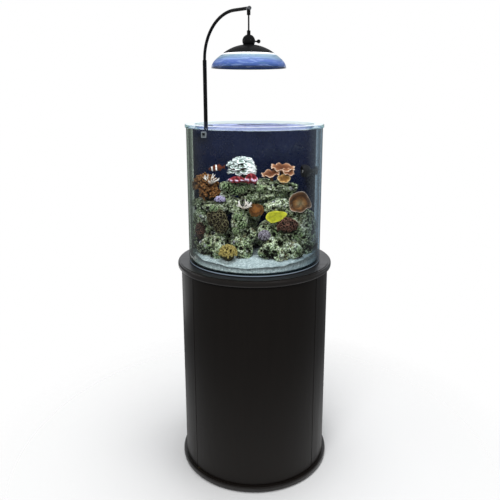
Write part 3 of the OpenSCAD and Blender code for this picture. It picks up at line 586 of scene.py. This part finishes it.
SAND_FLOOR = TANK_LOW.z + 0.0004
SAND_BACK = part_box("sand_bed")[1].z
SAND_FRONT = SAND_BACK - 0.024
SAND_RIGHT = 0.03
SAND_REACH = (-0.254, 0.060)
# the sand ends at the hollow face of the rear partition, an arc about this point of the Y axis
PARTITION_Y, PARTITION_RADIUS = -0.1615, 0.3262


def sand_material():
    """Crushed coral with dark grains in patches, in shadow behind the rocks."""
    s = Shader("coral_sand", (0.66, 0.72, 0.76), 0.9)
    base = s.ramp(s.noise(130, 5, 0.7), (0.34, (0.22, 0.29, 0.31)), (0.52, (0.44, 0.53, 0.54)),
                  (0.68, (0.74, 0.81, 0.81)))
    dark = s.mix(s.value_ramp(s.cells(240), (0.10, 0.9), (0.2, 0.0)), base, (0.05, 0.06, 0.07))
    few = s.mix(s.value_ramp(s.noise(30, 3), (0.48, 1.0), (0.60, 0.0)), dark, base)
    behind = s.span(s.place("Y"), -0.10, -0.02)
    s.color(s.mix(behind, few, (0.035, 0.045, 0.055)))
    s.bump(s.noise(500, 4, 0.7), 0.9, 0.0015)
    s.bump(s.cells(240), 0.4, 0.0012)
    return s.material


def sand_height(x, y):
    """Rises from the front to the back and to the right, with low mounds and grains."""
    front, rear = SAND_REACH
    back = unit((y - front) / (rear - front))
    mounds = 0.006 * noise.noise(Vector((x * 16, y * 16, 4.0)))
    mounds += 0.0025 * noise.noise(Vector((x * 55, y * 55, 9.0)))
    grains = 0.0008 * noise.noise(Vector((x * 300, y * 300, 2.0)))
    slope = (SAND_BACK - SAND_FRONT) * back + SAND_RIGHT * max(0.0, x) * (1 - back)
    return SAND_FRONT + slope + mounds + grains


def sand_piece():
    rings, spokes = 70, 180
    verts = []
    for top in (False, True):
        for i in range(rings + 1):
            r = (TANK_RADIUS - SAND_GAP) * i / rings
            for a in circle(spokes):
                x = r * math.cos(a)
                y = min(r * math.sin(a), PARTITION_Y + math.sqrt(PARTITION_RADIUS ** 2 - x * x))
                verts.append((x, y, sand_height(x, y) if top else SAND_FLOOR))
    layer = (rings + 1) * spokes
    rim = rings * spokes
    faces = flipped(grid_faces(rings + 1, spokes)) + grid_faces(rings + 1, spokes, layer)
    faces += [(rim + j, rim + (j + 1) % spokes, layer + rim + (j + 1) % spokes, layer + rim + j)
              for j in range(spokes)]
    return new_piece("sand_surface", verts, faces, sand_material())


sand = sand_piece()
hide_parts("sand_bed")

# ---------- corals ----------

GOLDEN_ANGLE = 2.399963


def coral_material(name, rough, mottle, amount, *stops):
    """Colour runs along the piece's tone, 0 in the hollows and 1 at the rims, with dark mottling over it."""
    s = Shader(name, stops[0][1], rough, specular_ior_level=0.2)
    spots = s.value_ramp(s.noise(mottle, 5, 0.65), (0.38, amount), (0.56, 0.0))
    s.color(s.mix(spots, s.ramp(s.tone(), *stops), (0.02, 0.015, 0.01)))
    s.bump(s.noise(mottle * 5, 4, 0.6), 0.4, 0.001)
    return s.material


def dome_coral(name, centre, radii, material, relief, rows=70, spokes=150):
    """A closed dome. relief(angle, rise, direction) gives how far a point stands out, and its tone."""
    low = -0.15
    verts, tones = [], []
    for i in range(rows):
        rise = 1 - (1 - low) * i / (rows - 1)
        for a in circle(spokes):
            d = direction(a, rise)
            out, tone = relief(a, rise, d)
            verts.append(on_ellipsoid(centre, radii, d, 1 + out))
            tones.append(tone)
    verts.append(Vector(centre) + Vector((0, 0, radii[2] * low)))
    tones.append(0.0)
    last = (rows - 1) * spokes
    faces = flipped(grid_faces(rows, spokes))
    faces += [(last + j, last + (j + 1) % spokes, rows * spokes) for j in range(spokes)]
    return new_piece(name, verts, faces, material, tones)


def smooth_relief(_angle, _rise, d):
    wave = noise.noise(d * 3.0)
    return 0.08 * wave, 0.75 + 0.4 * wave


def fold_relief(folds, depth, seed):
    """Wandering folds that run down the sides, and a swollen rim low down."""
    def relief(angle, rise, d):
        wave = 1.1 * noise.noise(d * 2.0 + Vector((seed, 0, 0)))
        fold = math.sin(folds * angle + 3 * wave + 4 * rise)
        rim = math.exp(-((rise - 0.22) / 0.2) ** 2)
        return depth * fold * (1 - rise ** 4) + 0.22 * rim, min(1.0, 0.25 + 0.3 * fold + 0.6 * rim)
    return relief


def disc_mesh(centre, normal, radius, thick, waves, lift, seed, ridge, oval=(1, 1), outline=None,
              rings=26, spokes=160):
    """Points, faces and tones of a plate with a wavy rim and radial ridges. Its top faces along normal.

    waves and lift are the number and the height of the rim's waves, and ridge the number of ridges.
    outline gives a share of the radius at an angle.
    """
    turn = turned_to(normal)
    verts, tones = [], []
    for side in (1, -1):
        for i in range(rings + 1):
            share = i / rings
            edge = math.sqrt(max(0.0, 1 - share ** 6))
            for a in circle(spokes):
                ripple = noise.noise(Vector((math.cos(a) * 1.3, math.sin(a) * 1.3, seed)))
                reach = radius * share * (1 + 0.11 * ripple + 0.03 * math.sin(waves * 3 * a + seed))
                if outline:
                    reach *= outline(a)
                bend = radius * lift * share ** 3 * (math.sin(waves * a + seed + ripple * 2) * 0.5 + 0.6)
                fine = radius * 0.018 * math.sin(ridge * a + 5 * ripple) * share * (1 - share * 0.4)
                z = bend + side * (thick / 2) * edge + (fine if side > 0 else -fine * 0.3)
                local = Vector((math.cos(a) * reach * oval[0], math.sin(a) * reach * oval[1], z))
                verts.append(Vector(centre) + turn @ local)
                # the underside keeps low tones: painted shade under the plate
                ridged = share ** 5 + 0.12 * (1 + math.sin(ridge * a)) * share
                tones.append(min(1.0, ridged) if side > 0 else share * 0.4)
    layer = (rings + 1) * spokes
    rim = rings * spokes
    faces = grid_faces(rings + 1, spokes) + flipped(grid_faces(rings + 1, spokes, layer))
    return verts, faces + rim_faces(rim, layer + rim, spokes), tones


def disc_coral(name, centre, normal, radius, thick, material, waves, lift, seed, ridge, stalk,
               oval=(1, 1), outline=None):
    """One plate on a fluted stalk that runs down to the point stalk."""
    verts, faces, tones = disc_mesh(centre, normal, radius, thick, waves, lift, seed, ridge, oval, outline)
    start = len(verts)
    rows, around, flutes = 9, 28, 7
    top = Vector(centre) - turned_to(normal) @ Vector((0, 0, thick * 0.3))
    for i in range(rows):
        t = i / (rows - 1)
        at = Vector(stalk).lerp(top, t)
        r = radius * (0.30 - 0.12 * math.sin(math.pi * t) + 0.06 * t ** 3)
        turn = turned_to(Vector((0, 0, 1)).lerp(Vector(normal).normalized(), t))
        for a in circle(around):
            flute = 1 + 0.07 * math.sin(flutes * a + seed)
            verts.append(at + turn @ Vector((math.cos(a) * r * flute, math.sin(a) * r * flute, 0)))
            tones.append(0.35 + 0.2 * math.sin(flutes * a + seed))
    faces += grid_faces(rows, around, start)
    faces += flipped([ring(start, around)]) + [ring(start + (rows - 1) * around, around)]
    return new_piece(name, verts, faces, material, tones)


def spiral(rng, count, low, high, jitter):
    """Directions spread evenly over a ball from the height low to high, each turned a little at random."""
    for k in range(count):
        rise = low + (high - low) * (k + 0.5) / count
        yield direction(k * GOLDEN_ANGLE + rng.uniform(-jitter, jitter), rise)


def lumpy(d, seed, scale, middle, swing):
    return middle + swing * noise.noise(d * scale + Vector((seed, 0, 0)))


def add_core(verts, tones, faces, centre, radii, rows, spokes, seed, *lumps):
    """Adds the lumpy ball under a coral's fingers or polyps, all at tone 0: painted shade between them."""
    start = len(verts)
    for i in range(rows):
        rise = math.cos(math.pi * (i + 0.02) / (rows - 0.96))
        for a in circle(spokes):
            d = direction(a, rise)
            verts.append(on_ellipsoid(centre, radii, d, lumpy(d, seed, *lumps)))
            tones.append(0.0)
    faces += flipped(grid_faces(rows, spokes, start))


def shelf_stack(name, centre, radii, count, size, material, seed):
    """Many small tilted plates that stand out of an ellipsoid like tiles, with dark gaps between them."""
    rng = random.Random(seed)
    verts, faces, tones = [], [], []
    for d in spiral(rng, count, -0.35, 0.97, 0.35):
        at = on_ellipsoid(centre, radii, d)
        tilt = Vector((d.x * 0.5 + rng.uniform(-0.2, 0.2), d.y * 0.5 + rng.uniform(-0.2, 0.2), 1))
        part = disc_mesh(at, tilt, size * rng.uniform(0.65, 1.2), size * 0.28, rng.choice((2, 3, 4)), 0.3,
                         rng.uniform(0, 9), 14, rings=9, spokes=44)
        start = len(verts)
        verts += part[0]
        faces += [tuple(start + index for index in face) for face in part[1]]
        tones += [min(1.0, 0.15 + 1.1 * tone) for tone in part[2]]
    return new_piece(name, verts, faces, material, tones)


def tentacles(name, centre, radii, count, length, width, material, seed, curl, low=-0.2, tip=1.35):
    """A cushion of short fingers with rounded tips, all growing outwards from an ellipsoid."""
    rng = random.Random(seed)
    verts, tones, faces = [], [], []
    rows, around = 7, 7
    for d in spiral(rng, count, low, 1, 0.3):
        root = on_ellipsoid(centre, radii, d, 0.86)
        side = Vector((rng.uniform(-1, 1), rng.uniform(-1, 1), rng.uniform(-1, 1))) * curl
        reach = length * rng.uniform(0.75, 1.25)
        start = len(verts)
        for i in range(rows):
            t = i / (rows - 1)
            way = (d + side * t * t).normalized()
            past = max(0.0, (t - 0.8) / 0.2)
            rounding = math.sqrt(max(0.0, 1 - past ** 2 * 0.96))
            swell = (1 + (tip - 1) * t ** 2) * rounding
            verts += hoop(root + way * reach * t, turned_to(way), width * swell, around)
            tones += [t] * around
        faces += grid_faces(rows, around, start)
        faces += flipped([ring(start, around)]) + [ring(start + (rows - 1) * around, around)]
    add_core(verts, tones, faces, centre, radii, 20, 40, seed, 4, 0.9, 0.12)
    return new_piece(name, verts, faces, material, tones)


# a polyp from its middle outwards: distance out and height, as shares of its size, and tone
POLYP = [(0.0, 0.10, 0.15), (0.45, 0.12, 0.35), (0.8, 0.42, 0.9),
         (1.0, 0.36, 1.0), (0.98, 0.0, 0.5), (0.6, -0.6, 0.1)]


def buttons(name, centre, radii, count, size, material, seed, low=-0.5):
    """A mat of small round polyps, each a cup with a raised rim and a dimple, over a lumpy cushion."""
    rng = random.Random(seed)
    verts, tones, faces = [], [], []
    around = 10
    for d in spiral(rng, count, low, 1, 0.2):
        at = on_ellipsoid(centre, radii, d, lumpy(d, seed, 3, 0.96, 0.16))
        lean = Vector((rng.uniform(-0.3, 0.3), rng.uniform(-0.3, 0.3), rng.uniform(-0.1, 0.3)))
        turn = turned_to(d + lean)
        r = size * rng.uniform(0.7, 1.15)
        start = len(verts)
        for out, up, tone in POLYP:
            for a in circle(around):
                local = Vector((math.cos(a) * out * r + 1e-5, math.sin(a) * out * r, up * r))
                verts.append(at + turn @ local)
                tones.append(tone)
        faces += flipped(grid_faces(len(POLYP), around, start))
    add_core(verts, tones, faces, centre, radii, 24, 48, seed, 3, 0.94, 0.16)
    return new_piece(name, verts, faces, material, tones)


def branches(name, centre, height, count, width, material, seed):
    """A small twiggy bush: branches that fork once and end in knobs."""
    rng = random.Random(seed)
    verts, tones, faces = [], [], []
    rows, around = 6, 8

    def rod(start_at, end_at, r0, r1, t0, t1):
        start = len(verts)
        turn = turned_to(end_at - start_at)
        for i in range(rows):
            t = i / (rows - 1)
            tip = 0.45 if i == rows - 1 else 1
            r = (r0 + (r1 - r0) * t) * (1 + 0.22 * math.sin(9 * t + seed)) * tip
            verts.extend(hoop(start_at.lerp(end_at, t), turn, r, around))
            tones.extend([t0 + (t1 - t0) * t] * around)
        faces.extend(grid_faces(rows, around, start))
        faces.extend(flipped([ring(start, around)]) + [ring(start + (rows - 1) * around, around)])

    for _ in range(count):
        way = Vector((rng.uniform(-1, 1) * 1.3, rng.uniform(-1, 1) * 0.91, rng.uniform(0.3, 1))).normalized()
        middle = Vector(centre) + way * height * rng.uniform(0.4, 0.6)
        rod(Vector(centre), middle, width, width * 0.85, 0.0, 0.5)
        for _ in range(rng.choice((2, 3))):
            stray = Vector((rng.uniform(-1, 1), rng.uniform(-1, 1), rng.uniform(-0.4, 1)))
            fork = (way + stray * 0.75).normalized()
            end = middle + fork * height * rng.uniform(0.3, 0.55)
            rod(middle - way * width * 0.4, end, width * 0.85, width * 0.6, 0.5, 1.0)
    return new_piece(name, verts, faces, material, tones)


PALE_PLATE = coral_material("pale_plate_coral", 0.6, 120, 0.2, (0.0, (0.03, 0.05, 0.04)),
                            (0.22, (0.24, 0.32, 0.27)), (0.45, (0.66, 0.78, 0.74)), (0.8, (0.97, 1.0, 0.99)))
CORE = coral_material("shaded_coral_core", 0.7, 90, 0.5, (0.0, (0.020, 0.016, 0.012)),
                      (1.0, (0.10, 0.075, 0.05)))
ROSE = coral_material("rose_open_coral", 0.35, 60, 0.3, (0.0, (0.07, 0.010, 0.014)),
                      (0.5, (0.27, 0.028, 0.036)), (0.8, (0.44, 0.12, 0.16)), (1.0, (0.78, 0.62, 0.80)))
PEACH = coral_material("peach_leather_coral", 0.5, 140, 0.5, (0.0, (0.10, 0.030, 0.012)),
                       (0.35, (0.27, 0.115, 0.055)), (0.7, (0.40, 0.22, 0.125)), (1.0, (0.88, 0.66, 0.50)))
TAN = coral_material("tan_hammer_coral", 0.4, 60, 0.6, (0.0, (0.016, 0.007, 0.003)),
                     (0.5, (0.12, 0.045, 0.012)), (0.85, (0.22, 0.09, 0.025)), (1.0, (0.44, 0.23, 0.09)))
BROWN_DISC = coral_material("brown_mushroom_coral", 0.45, 55, 0.7, (0.0, (0.16, 0.14, 0.08)),
                            (0.07, (0.22, 0.095, 0.028)), (0.24, (0.055, 0.022, 0.008)),
                            (0.9, (0.22, 0.11, 0.055)), (1.0, (0.84, 0.74, 0.62)))
RUST_DISC = coral_material("rust_mushroom_coral", 0.5, 70, 0.6, (0.0, (0.22, 0.085, 0.020)),
                           (0.24, (0.060, 0.022, 0.006)), (1.0, (0.26, 0.12, 0.035)))
AMBER = coral_material("amber_leather_coral", 0.5, 140, 0.5, (0.0, (0.14, 0.06, 0.015)),
                       (0.4, (0.42, 0.22, 0.06)), (1.0, (0.80, 0.62, 0.36)))
YELLOW = coral_material("yellow_scroll_coral", 0.5, 80, 0.35, (0.0, (0.34, 0.35, 0.018)),
                        (0.5, (0.42, 0.42, 0.028)), (1.0, (0.56, 0.56, 0.05)))
MUSTARD = coral_material("mustard_coral", 0.55, 90, 0.5, (0.0, (0.05, 0.035, 0.006)),
                         (0.5, (0.24, 0.17, 0.035)), (1.0, (0.52, 0.42, 0.14)))
RED = coral_material("red_button_polyps", 0.5, 60, 0.8, (0.0, (0.006, 0.003, 0.002)),
                     (0.75, (0.022, 0.005, 0.004)), (1.0, (0.34, 0.17, 0.12)))
UMBER = coral_material("umber_knob_coral", 0.6, 80, 0.9, (0.0, (0.005, 0.004, 0.002)),
                       (0.75, (0.014, 0.009, 0.005)), (1.0, (0.26, 0.24, 0.13)))
WHITE = coral_material("white_branch_coral", 0.6, 120, 0.1, (0.0, (0.20, 0.13, 0.08)),
                       (0.5, (0.86, 0.80, 0.72)), (1.0, (1.0, 0.98, 0.95)))
LILAC = coral_material("lilac_polyps", 0.5, 90, 0.2, (0.0, (0.10, 0.08, 0.16)),
                       (0.6, (0.36, 0.30, 0.58)), (1.0, (0.78, 0.76, 0.92)))
GREY_LILAC = coral_material("grey_lilac_polyps", 0.6, 120, 0.5, (0.0, (0.06, 0.05, 0.07)),
                            (0.6, (0.26, 0.22, 0.30)), (1.0, (0.56, 0.54, 0.60)))
GREEN = coral_material("green_button_polyps", 0.5, 70, 0.7, (0.0, (0.012, 0.024, 0.008)),
                       (0.6, (0.12, 0.21, 0.06)), (1.0, (0.66, 0.84, 0.50)))


def stands_for(slot, nodes, *coral):
    for piece in coral:
        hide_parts(*nodes)


def leaf_outline(angle):
    """Drawn out to a point on one side, a little way round from +X."""
    towards = max(0.0, math.cos(angle - 0.25))
    return 0.90 + 0.55 * towards ** 7


stands_for("pale_coral", ["plate_coral"],
           dome_coral("plate_coral_dome", (-0.022, -0.036, 1.182), (0.028, 0.034, 0.040), PALE_PLATE,
                      smooth_relief, 60, 120),
           dome_coral("plate_coral_core", (-0.050, -0.026, 1.186), (0.040, 0.034, 0.040), CORE,
                      fold_relief(5, 0.1, 2.0)),
           shelf_stack("plate_coral_shelves", (-0.046, -0.030, 1.190), (0.044, 0.038, 0.046), 74, 0.0130,
                       PALE_PLATE, 61),
           shelf_stack("plate_coral_outlier", (-0.078, -0.036, 1.204), (0.021, 0.020, 0.018), 11, 0.0105,
                       PALE_PLATE, 62))
stands_for("pink_coral", ["open_corals"],
           dome_coral("open_coral_left", (-0.064, -0.082, 1.154), (0.025, 0.018, 0.018), ROSE,
                      fold_relief(7, 0.16, 3.0)),
           dome_coral("open_coral_right", (-0.013, -0.084, 1.153), (0.019, 0.018, 0.031), ROSE,
                      fold_relief(5, 0.16, 8.0)))
stands_for("orange_coral", ["leather_corals"],
           disc_coral("leather_coral_left", (0.062, -0.040, 1.172), (-0.15, -0.42, 1), 0.030, 0.008, PEACH,
                      6, 0.34, 2, 60, (0.066, -0.024, 1.140), (1.15, 0.8)),
           disc_coral("leather_coral_top", (0.106, -0.024, 1.192), (0.05, -0.42, 1), 0.038, 0.010, PEACH,
                      7, 0.26, 7, 70, (0.108, -0.018, 1.140), (1.15, 0.75)),
           disc_coral("leather_coral_right", (0.124, -0.046, 1.180), (0.3, -0.6, 1), 0.024, 0.008, PEACH,
                      6, 0.3, 5, 50, (0.118, -0.030, 1.140), (1.0, 0.8)),
           disc_coral("leather_coral_low", (0.108, -0.060, 1.158), (0.1, -1.3, 1), 0.022, 0.008, AMBER,
                      6, 0.25, 11, 40, (0.106, -0.044, 1.130), (1.1, 0.8)))
stands_for("tan_coral", ["hammer_coral"],
           tentacles("hammer_coral_head", (-0.186, -0.024, 1.128), (0.034, 0.032, 0.030), 230, 0.022, 0.0030,
                     TAN, 5, 0.8),
           tentacles("hammer_coral_side", (-0.166, -0.040, 1.096), (0.030, 0.024, 0.024), 150, 0.018, 0.0028,
                     TAN, 8, 0.8))
stands_for("brown_coral", ["mushroom_corals"],
           disc_coral("mushroom_coral_big", (0.168, -0.078, 1.068), (-0.10, -1.0, 0.72), 0.041, 0.006,
                      BROWN_DISC, 2, 0.50, 4, 60, (0.168, -0.050, 1.030)),
           disc_coral("mushroom_coral_small", (0.006, -0.098, 1.050), (-0.05, -0.9, 0.7), 0.027, 0.016,
                      RUST_DISC, 3, -0.3, 9, 34, (0.008, -0.075, 1.020)))
stands_for("yellow_coral", ["yellow_corals"],
           disc_coral("scroll_coral", (0.072, -0.120, 1.028), (-0.12, -1.0, 0.62), 0.031, 0.005, YELLOW,
                      2, 0.10, 6, 28, (0.078, -0.080, 1.005), (1.12, 0.80), leaf_outline),
           tentacles("mustard_coral_cushion", (-0.096, -0.168, 0.902), (0.028, 0.022, 0.028), 260, 0.011,
                     0.0026, MUSTARD, 13, 0.7, -0.1, 1.5))
stands_for("red_coral", ["zoanthids"],
           buttons("red_polyps_right", (0.120, -0.120, 0.996), (0.037, 0.026, 0.028), 90, 0.0068, RED, 17),
           buttons("red_polyps_left", (-0.205, -0.060, 0.958), (0.018, 0.026, 0.040), 60, 0.0056, RED, 19))
stands_for("brown_coral", ["brown_coral"],
           buttons("umber_knobs", (-0.140, -0.086, 1.018), (0.034, 0.026, 0.034), 84, 0.0080, UMBER,
                   23, -0.8),
           buttons("umber_knobs_low", (-0.124, -0.092, 0.990), (0.026, 0.024, 0.030), 56, 0.0080, UMBER,
                   27, -0.8))

branches("white_twigs_left", (-0.160, -0.064, 1.140), 0.044, 9, 0.0022, WHITE, 3)
branches("white_twigs_middle", (-0.040, -0.104, 1.054), 0.040, 10, 0.0021, WHITE, 5)
buttons("lilac_polyps_left", (-0.128, -0.080, 1.086), (0.020, 0.014, 0.012), 46, 0.0034, LILAC, 29)
buttons("lilac_polyps_right", (0.036, -0.126, 0.958), (0.022, 0.012, 0.022), 60, 0.0042, GREY_LILAC, 31)
# centre and size of each patch
GREEN_PATCHES = [
    (-0.100, -0.078, 1.132, 0.020), (-0.074, -0.084, 1.118, 0.020), (-0.048, -0.080, 1.122, 0.016),
    (-0.062, -0.106, 1.024, 0.016), (-0.046, -0.110, 0.996, 0.018), (-0.066, -0.104, 0.972, 0.015),
    (-0.150, -0.094, 1.052, 0.016), (0.150, -0.115, 0.945, 0.016), (0.020, -0.075, 1.124, 0.014)]
for k, (x, y, z, size) in enumerate(GREEN_PATCHES):
    buttons(f"green_polyps_{k}", (x, y, z), (size, size * 0.7, size * 0.8), 46, 0.0030, GREEN, 40 + k, -0.9)

# ---------- fish ----------


def fish_material(name, ground, bar, bars, bar_width):
    """tone runs from nose to tail. bars are the places of the pale bars along it."""
    s = Shader(name, ground, 0.3, coat_weight=0.4, coat_roughness=0.1)
    along = s.tone()
    mottle = s.value_ramp(s.noise(160, 4), (0.35, 0.5), (0.6, 0.0))
    color = s.mix(mottle, ground, tuple(c * 0.45 for c in ground))
    for at in bars:
        near = s.math("LESS_THAN", s.math("ABSOLUTE", s.math("SUBTRACT", along, at)), bar_width)
        color = s.mix(near, color, bar)
    s.color(color)
    s.bump(s.cells(900), 0.25, 0.0003)
    return s.material


def fish(name, centre, heading, length, material, tilt):
    """A small reef fish: a body of oval sections, a tail, fins above and below, side fins and eyes."""
    verts, tones, faces = [], [], []
    rows, around = 22, 20
    for i in range(rows):
        t = i / (rows - 1)
        bulge = math.sin(math.pi * min(1, t * 0.93 + 0.03)) ** 0.75
        tall = 0.17 * length * bulge * (1 - 0.25 * t) + 0.012 * length
        wide = tall * 0.52
        for a in circle(around):
            verts.append(Vector((length * 0.5 - length * 0.86 * t, math.cos(a) * wide, math.sin(a) * tall)))
            tones.append(t * 0.86)
    faces += flipped(grid_faces(rows, around))
    faces += [ring(0, around)] + flipped([ring((rows - 1) * around, around)])

    def fin(outline, y=0.0, thick=0.012, lean=0.0):
        """A flat fin from points (along, up), in body lengths. lean spreads it sideways from its root."""
        start = len(verts)
        for side in (1, -1):
            for x, z in outline:
                verts.append(Vector((x, y + side * thick / 2 + lean * abs(z), z)) * length)
                tones.append(0.5 - x)
        n = len(outline)
        faces.extend([ring(start, n)] + flipped([ring(start + n, n)]) + rim_faces(start, start + n, n))

    fin([(-0.33, 0.0), (-0.42, 0.10), (-0.50, 0.14), (-0.49, 0.05), (-0.47, 0.0), (-0.49, -0.05),
         (-0.50, -0.14), (-0.42, -0.10)])
    fin([(0.22, 0.14), (0.12, 0.22), (0.0, 0.21), (-0.06, 0.19), (-0.18, 0.21), (-0.28, 0.13), (-0.27, 0.06),
         (0.2, 0.09)])
    fin([(-0.02, -0.14), (-0.14, -0.20), (-0.25, -0.14), (-0.27, -0.05), (0.0, -0.09)])
    for side in (1, -1):
        fin([(0.16, -0.03), (0.04, -0.12), (-0.04, -0.10), (0.02, 0.02)], side * 0.115, 0.01, side * 0.35)
    turn = Matrix.Rotation(heading, 3, "Z") @ Matrix.Rotation(tilt, 3, "Y")
    new_piece(name, [Vector(centre) + turn @ v for v in verts], faces, material, tones)
    both = bmesh.new()
    for side in (1, -1):
        spot = Vector(centre) + turn @ Vector((0.36 * length, side * 0.062 * length, 0.045 * length))
        bmesh.ops.create_icosphere(both, subdivisions=2, radius=0.03 * length,
                                   matrix=Matrix.Translation(spot))
    mesh = bpy.data.meshes.new(name + "_eyes")
    both.to_mesh(mesh)
    both.free()
    mesh.materials.append(EYE)
    mesh.polygons.foreach_set("use_smooth", [True] * len(mesh.polygons))
    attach(linked(name + "_eyes", mesh), ROOT)


EYE = plastic("fish_eye", (0.006, 0.006, 0.007), 0.08)
ORANGE_FISH = fish_material("orange_fish", (0.13, 0.030, 0.010), (0.90, 0.90, 0.88), (0.22, 0.48), 0.04)
fish("banded_fish", (-0.138, -0.070, 1.200), math.radians(176), 0.062, ORANGE_FISH, math.radians(8))

# ---------- water ----------

BELOW_EDGE = 0.0008
WATER_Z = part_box("rear_partition")[1].z - BELOW_EDGE


def water_piece():
    """The still surface, with faint waves and a rise where it meets the wall."""
    rings, spokes = 60, 160
    verts = []
    for i in range(rings + 1):
        r = (TANK_RADIUS - WATER_GAP) * i / rings
        creep = 0.0015 * (i / rings) ** 40
        for a in circle(spokes):
            x, y = r * math.cos(a), r * math.sin(a)
            wave = 0.0012 * noise.noise(Vector((x * 22, y * 22, 1.0)))
            verts.append((x, y, WATER_Z + creep + wave))
    return new_piece("water_surface", verts, grid_faces(rings + 1, spokes), WATER)


water = water_piece()

# ---------- floor and light ----------


def floor_piece():
    """A plain pale floor that fades into the plain background away from the object."""
    s = Shader("pale_floor", (0.93, 0.93, 0.93), 0.7)
    s.bump(s.noise(60, 4), 0.03, 0.001)
    distance = s.add("VectorMath", operation="LENGTH")
    s.link(s.add("TexCoord").outputs["Object"], distance.inputs[0])
    solid_to, gone_at = 0.36, 1.2
    fade = s.span(distance.outputs["Value"], solid_to, gone_at)
    s.link(s.math("SUBTRACT", 1.0, fade), s.bsdf.inputs["Alpha"])
    rings, spokes, radius = 12, 96, 3.5
    verts = [(radius * i / rings * math.cos(a), radius * i / rings * math.sin(a), 0)
             for i in range(rings + 1) for a in circle(spokes)]
    mesh = bpy.data.meshes.new("floor")
    mesh.from_pydata(verts, [], grid_faces(rings + 1, spokes))
    mesh.materials.append(s.material)
    linked("floor", mesh)


def area_light(name, at, target, size, power, glossy=True, color=(1, 1, 1)):
    """A soft panel in watts. One that is not glossy leaves no mirror image of itself in the acrylic."""
    data = bpy.data.lights.new(name, "AREA")
    data.shape = "RECTANGLE"
    data.size, data.size_y = size
    data.energy = power
    data.color = color
    light = linked(name, data)
    light.location = at
    light.visible_camera = False
    light.visible_glossy = glossy
    light.rotation_euler = (Vector(target) - Vector(at)).to_track_quat("-Z", "Y").to_euler()


floor_piece()
area_light("key", (-0.6, -2.6, 3.2), (0, 0, 1.1), (1.6, 1.6), 75, False)
area_light("top", (0.2, 0.0, 3.6), (0, 0, 1.0), (1.4, 1.4), 60, False)
area_light("stand_edge", (-1.05, 0.85, 0.32), (-0.2, 0.0, 0.6), (0.8, 0.35), 0.8)
area_light("right_fill", (2.4, -1.6, 1.9), (0, 0, 1.0), (1.2, 2.0), 9, False)
area_light("right_panel", (1.9, 1.0, 0.85), (0, 0, 1.0), (1.5, 0.9), 1.3, True, (0.75, 0.9, 1.0))
area_light("arm_strip", (-2.2, 0.3, 2.0), (-0.2, 0.0, 1.7), (0.3, 1.2), 2.6)
area_light("holder_spot", (1.2, -1.6, 2.3), (0, 0, 1.7), (0.3, 0.4), 1.6)
area_light("tank_light", (0.0, -0.14, 1.50), (0.0, -0.10, 0.9), (0.24, 0.20), 1.0, False)
area_light("rear_sheet", (0, 2.3, 1.66), (0, 0, 1.2), (4.4, 0.6), 9.0, True, (0.92, 0.95, 1.0))


def studio_world():
    """Soft light from all round, in front of a white background that only the camera sees."""
    world = bpy.data.worlds.new("studio")
    world.use_nodes = True
    tree = world.node_tree
    surround = next(n for n in tree.nodes if n.type == "BACKGROUND")
    surround.inputs["Color"].default_value = (0.95, 0.97, 1.0, 1)
    surround.inputs["Strength"].default_value = 0.22
    backdrop = tree.nodes.new("ShaderNodeBackground")
    backdrop.inputs["Color"].default_value = (1, 1, 1, 1)
    backdrop.inputs["Strength"].default_value = 1.0
    rays = tree.nodes.new("ShaderNodeLightPath")
    choose = tree.nodes.new("ShaderNodeMixShader")
    tree.links.new(rays.outputs["Is Camera Ray"], choose.inputs[0])
    tree.links.new(surround.outputs[0], choose.inputs[1])
    tree.links.new(backdrop.outputs[0], choose.inputs[2])
    output = next(n for n in tree.nodes if n.type == "OUTPUT_WORLD")
    tree.links.new(choose.outputs[0], output.inputs["Surface"])
    bpy.context.scene.world = world


studio_world()
bpy.context.scene.view_settings.view_transform = "Standard"
bpy.context.scene.view_settings.look = "None"
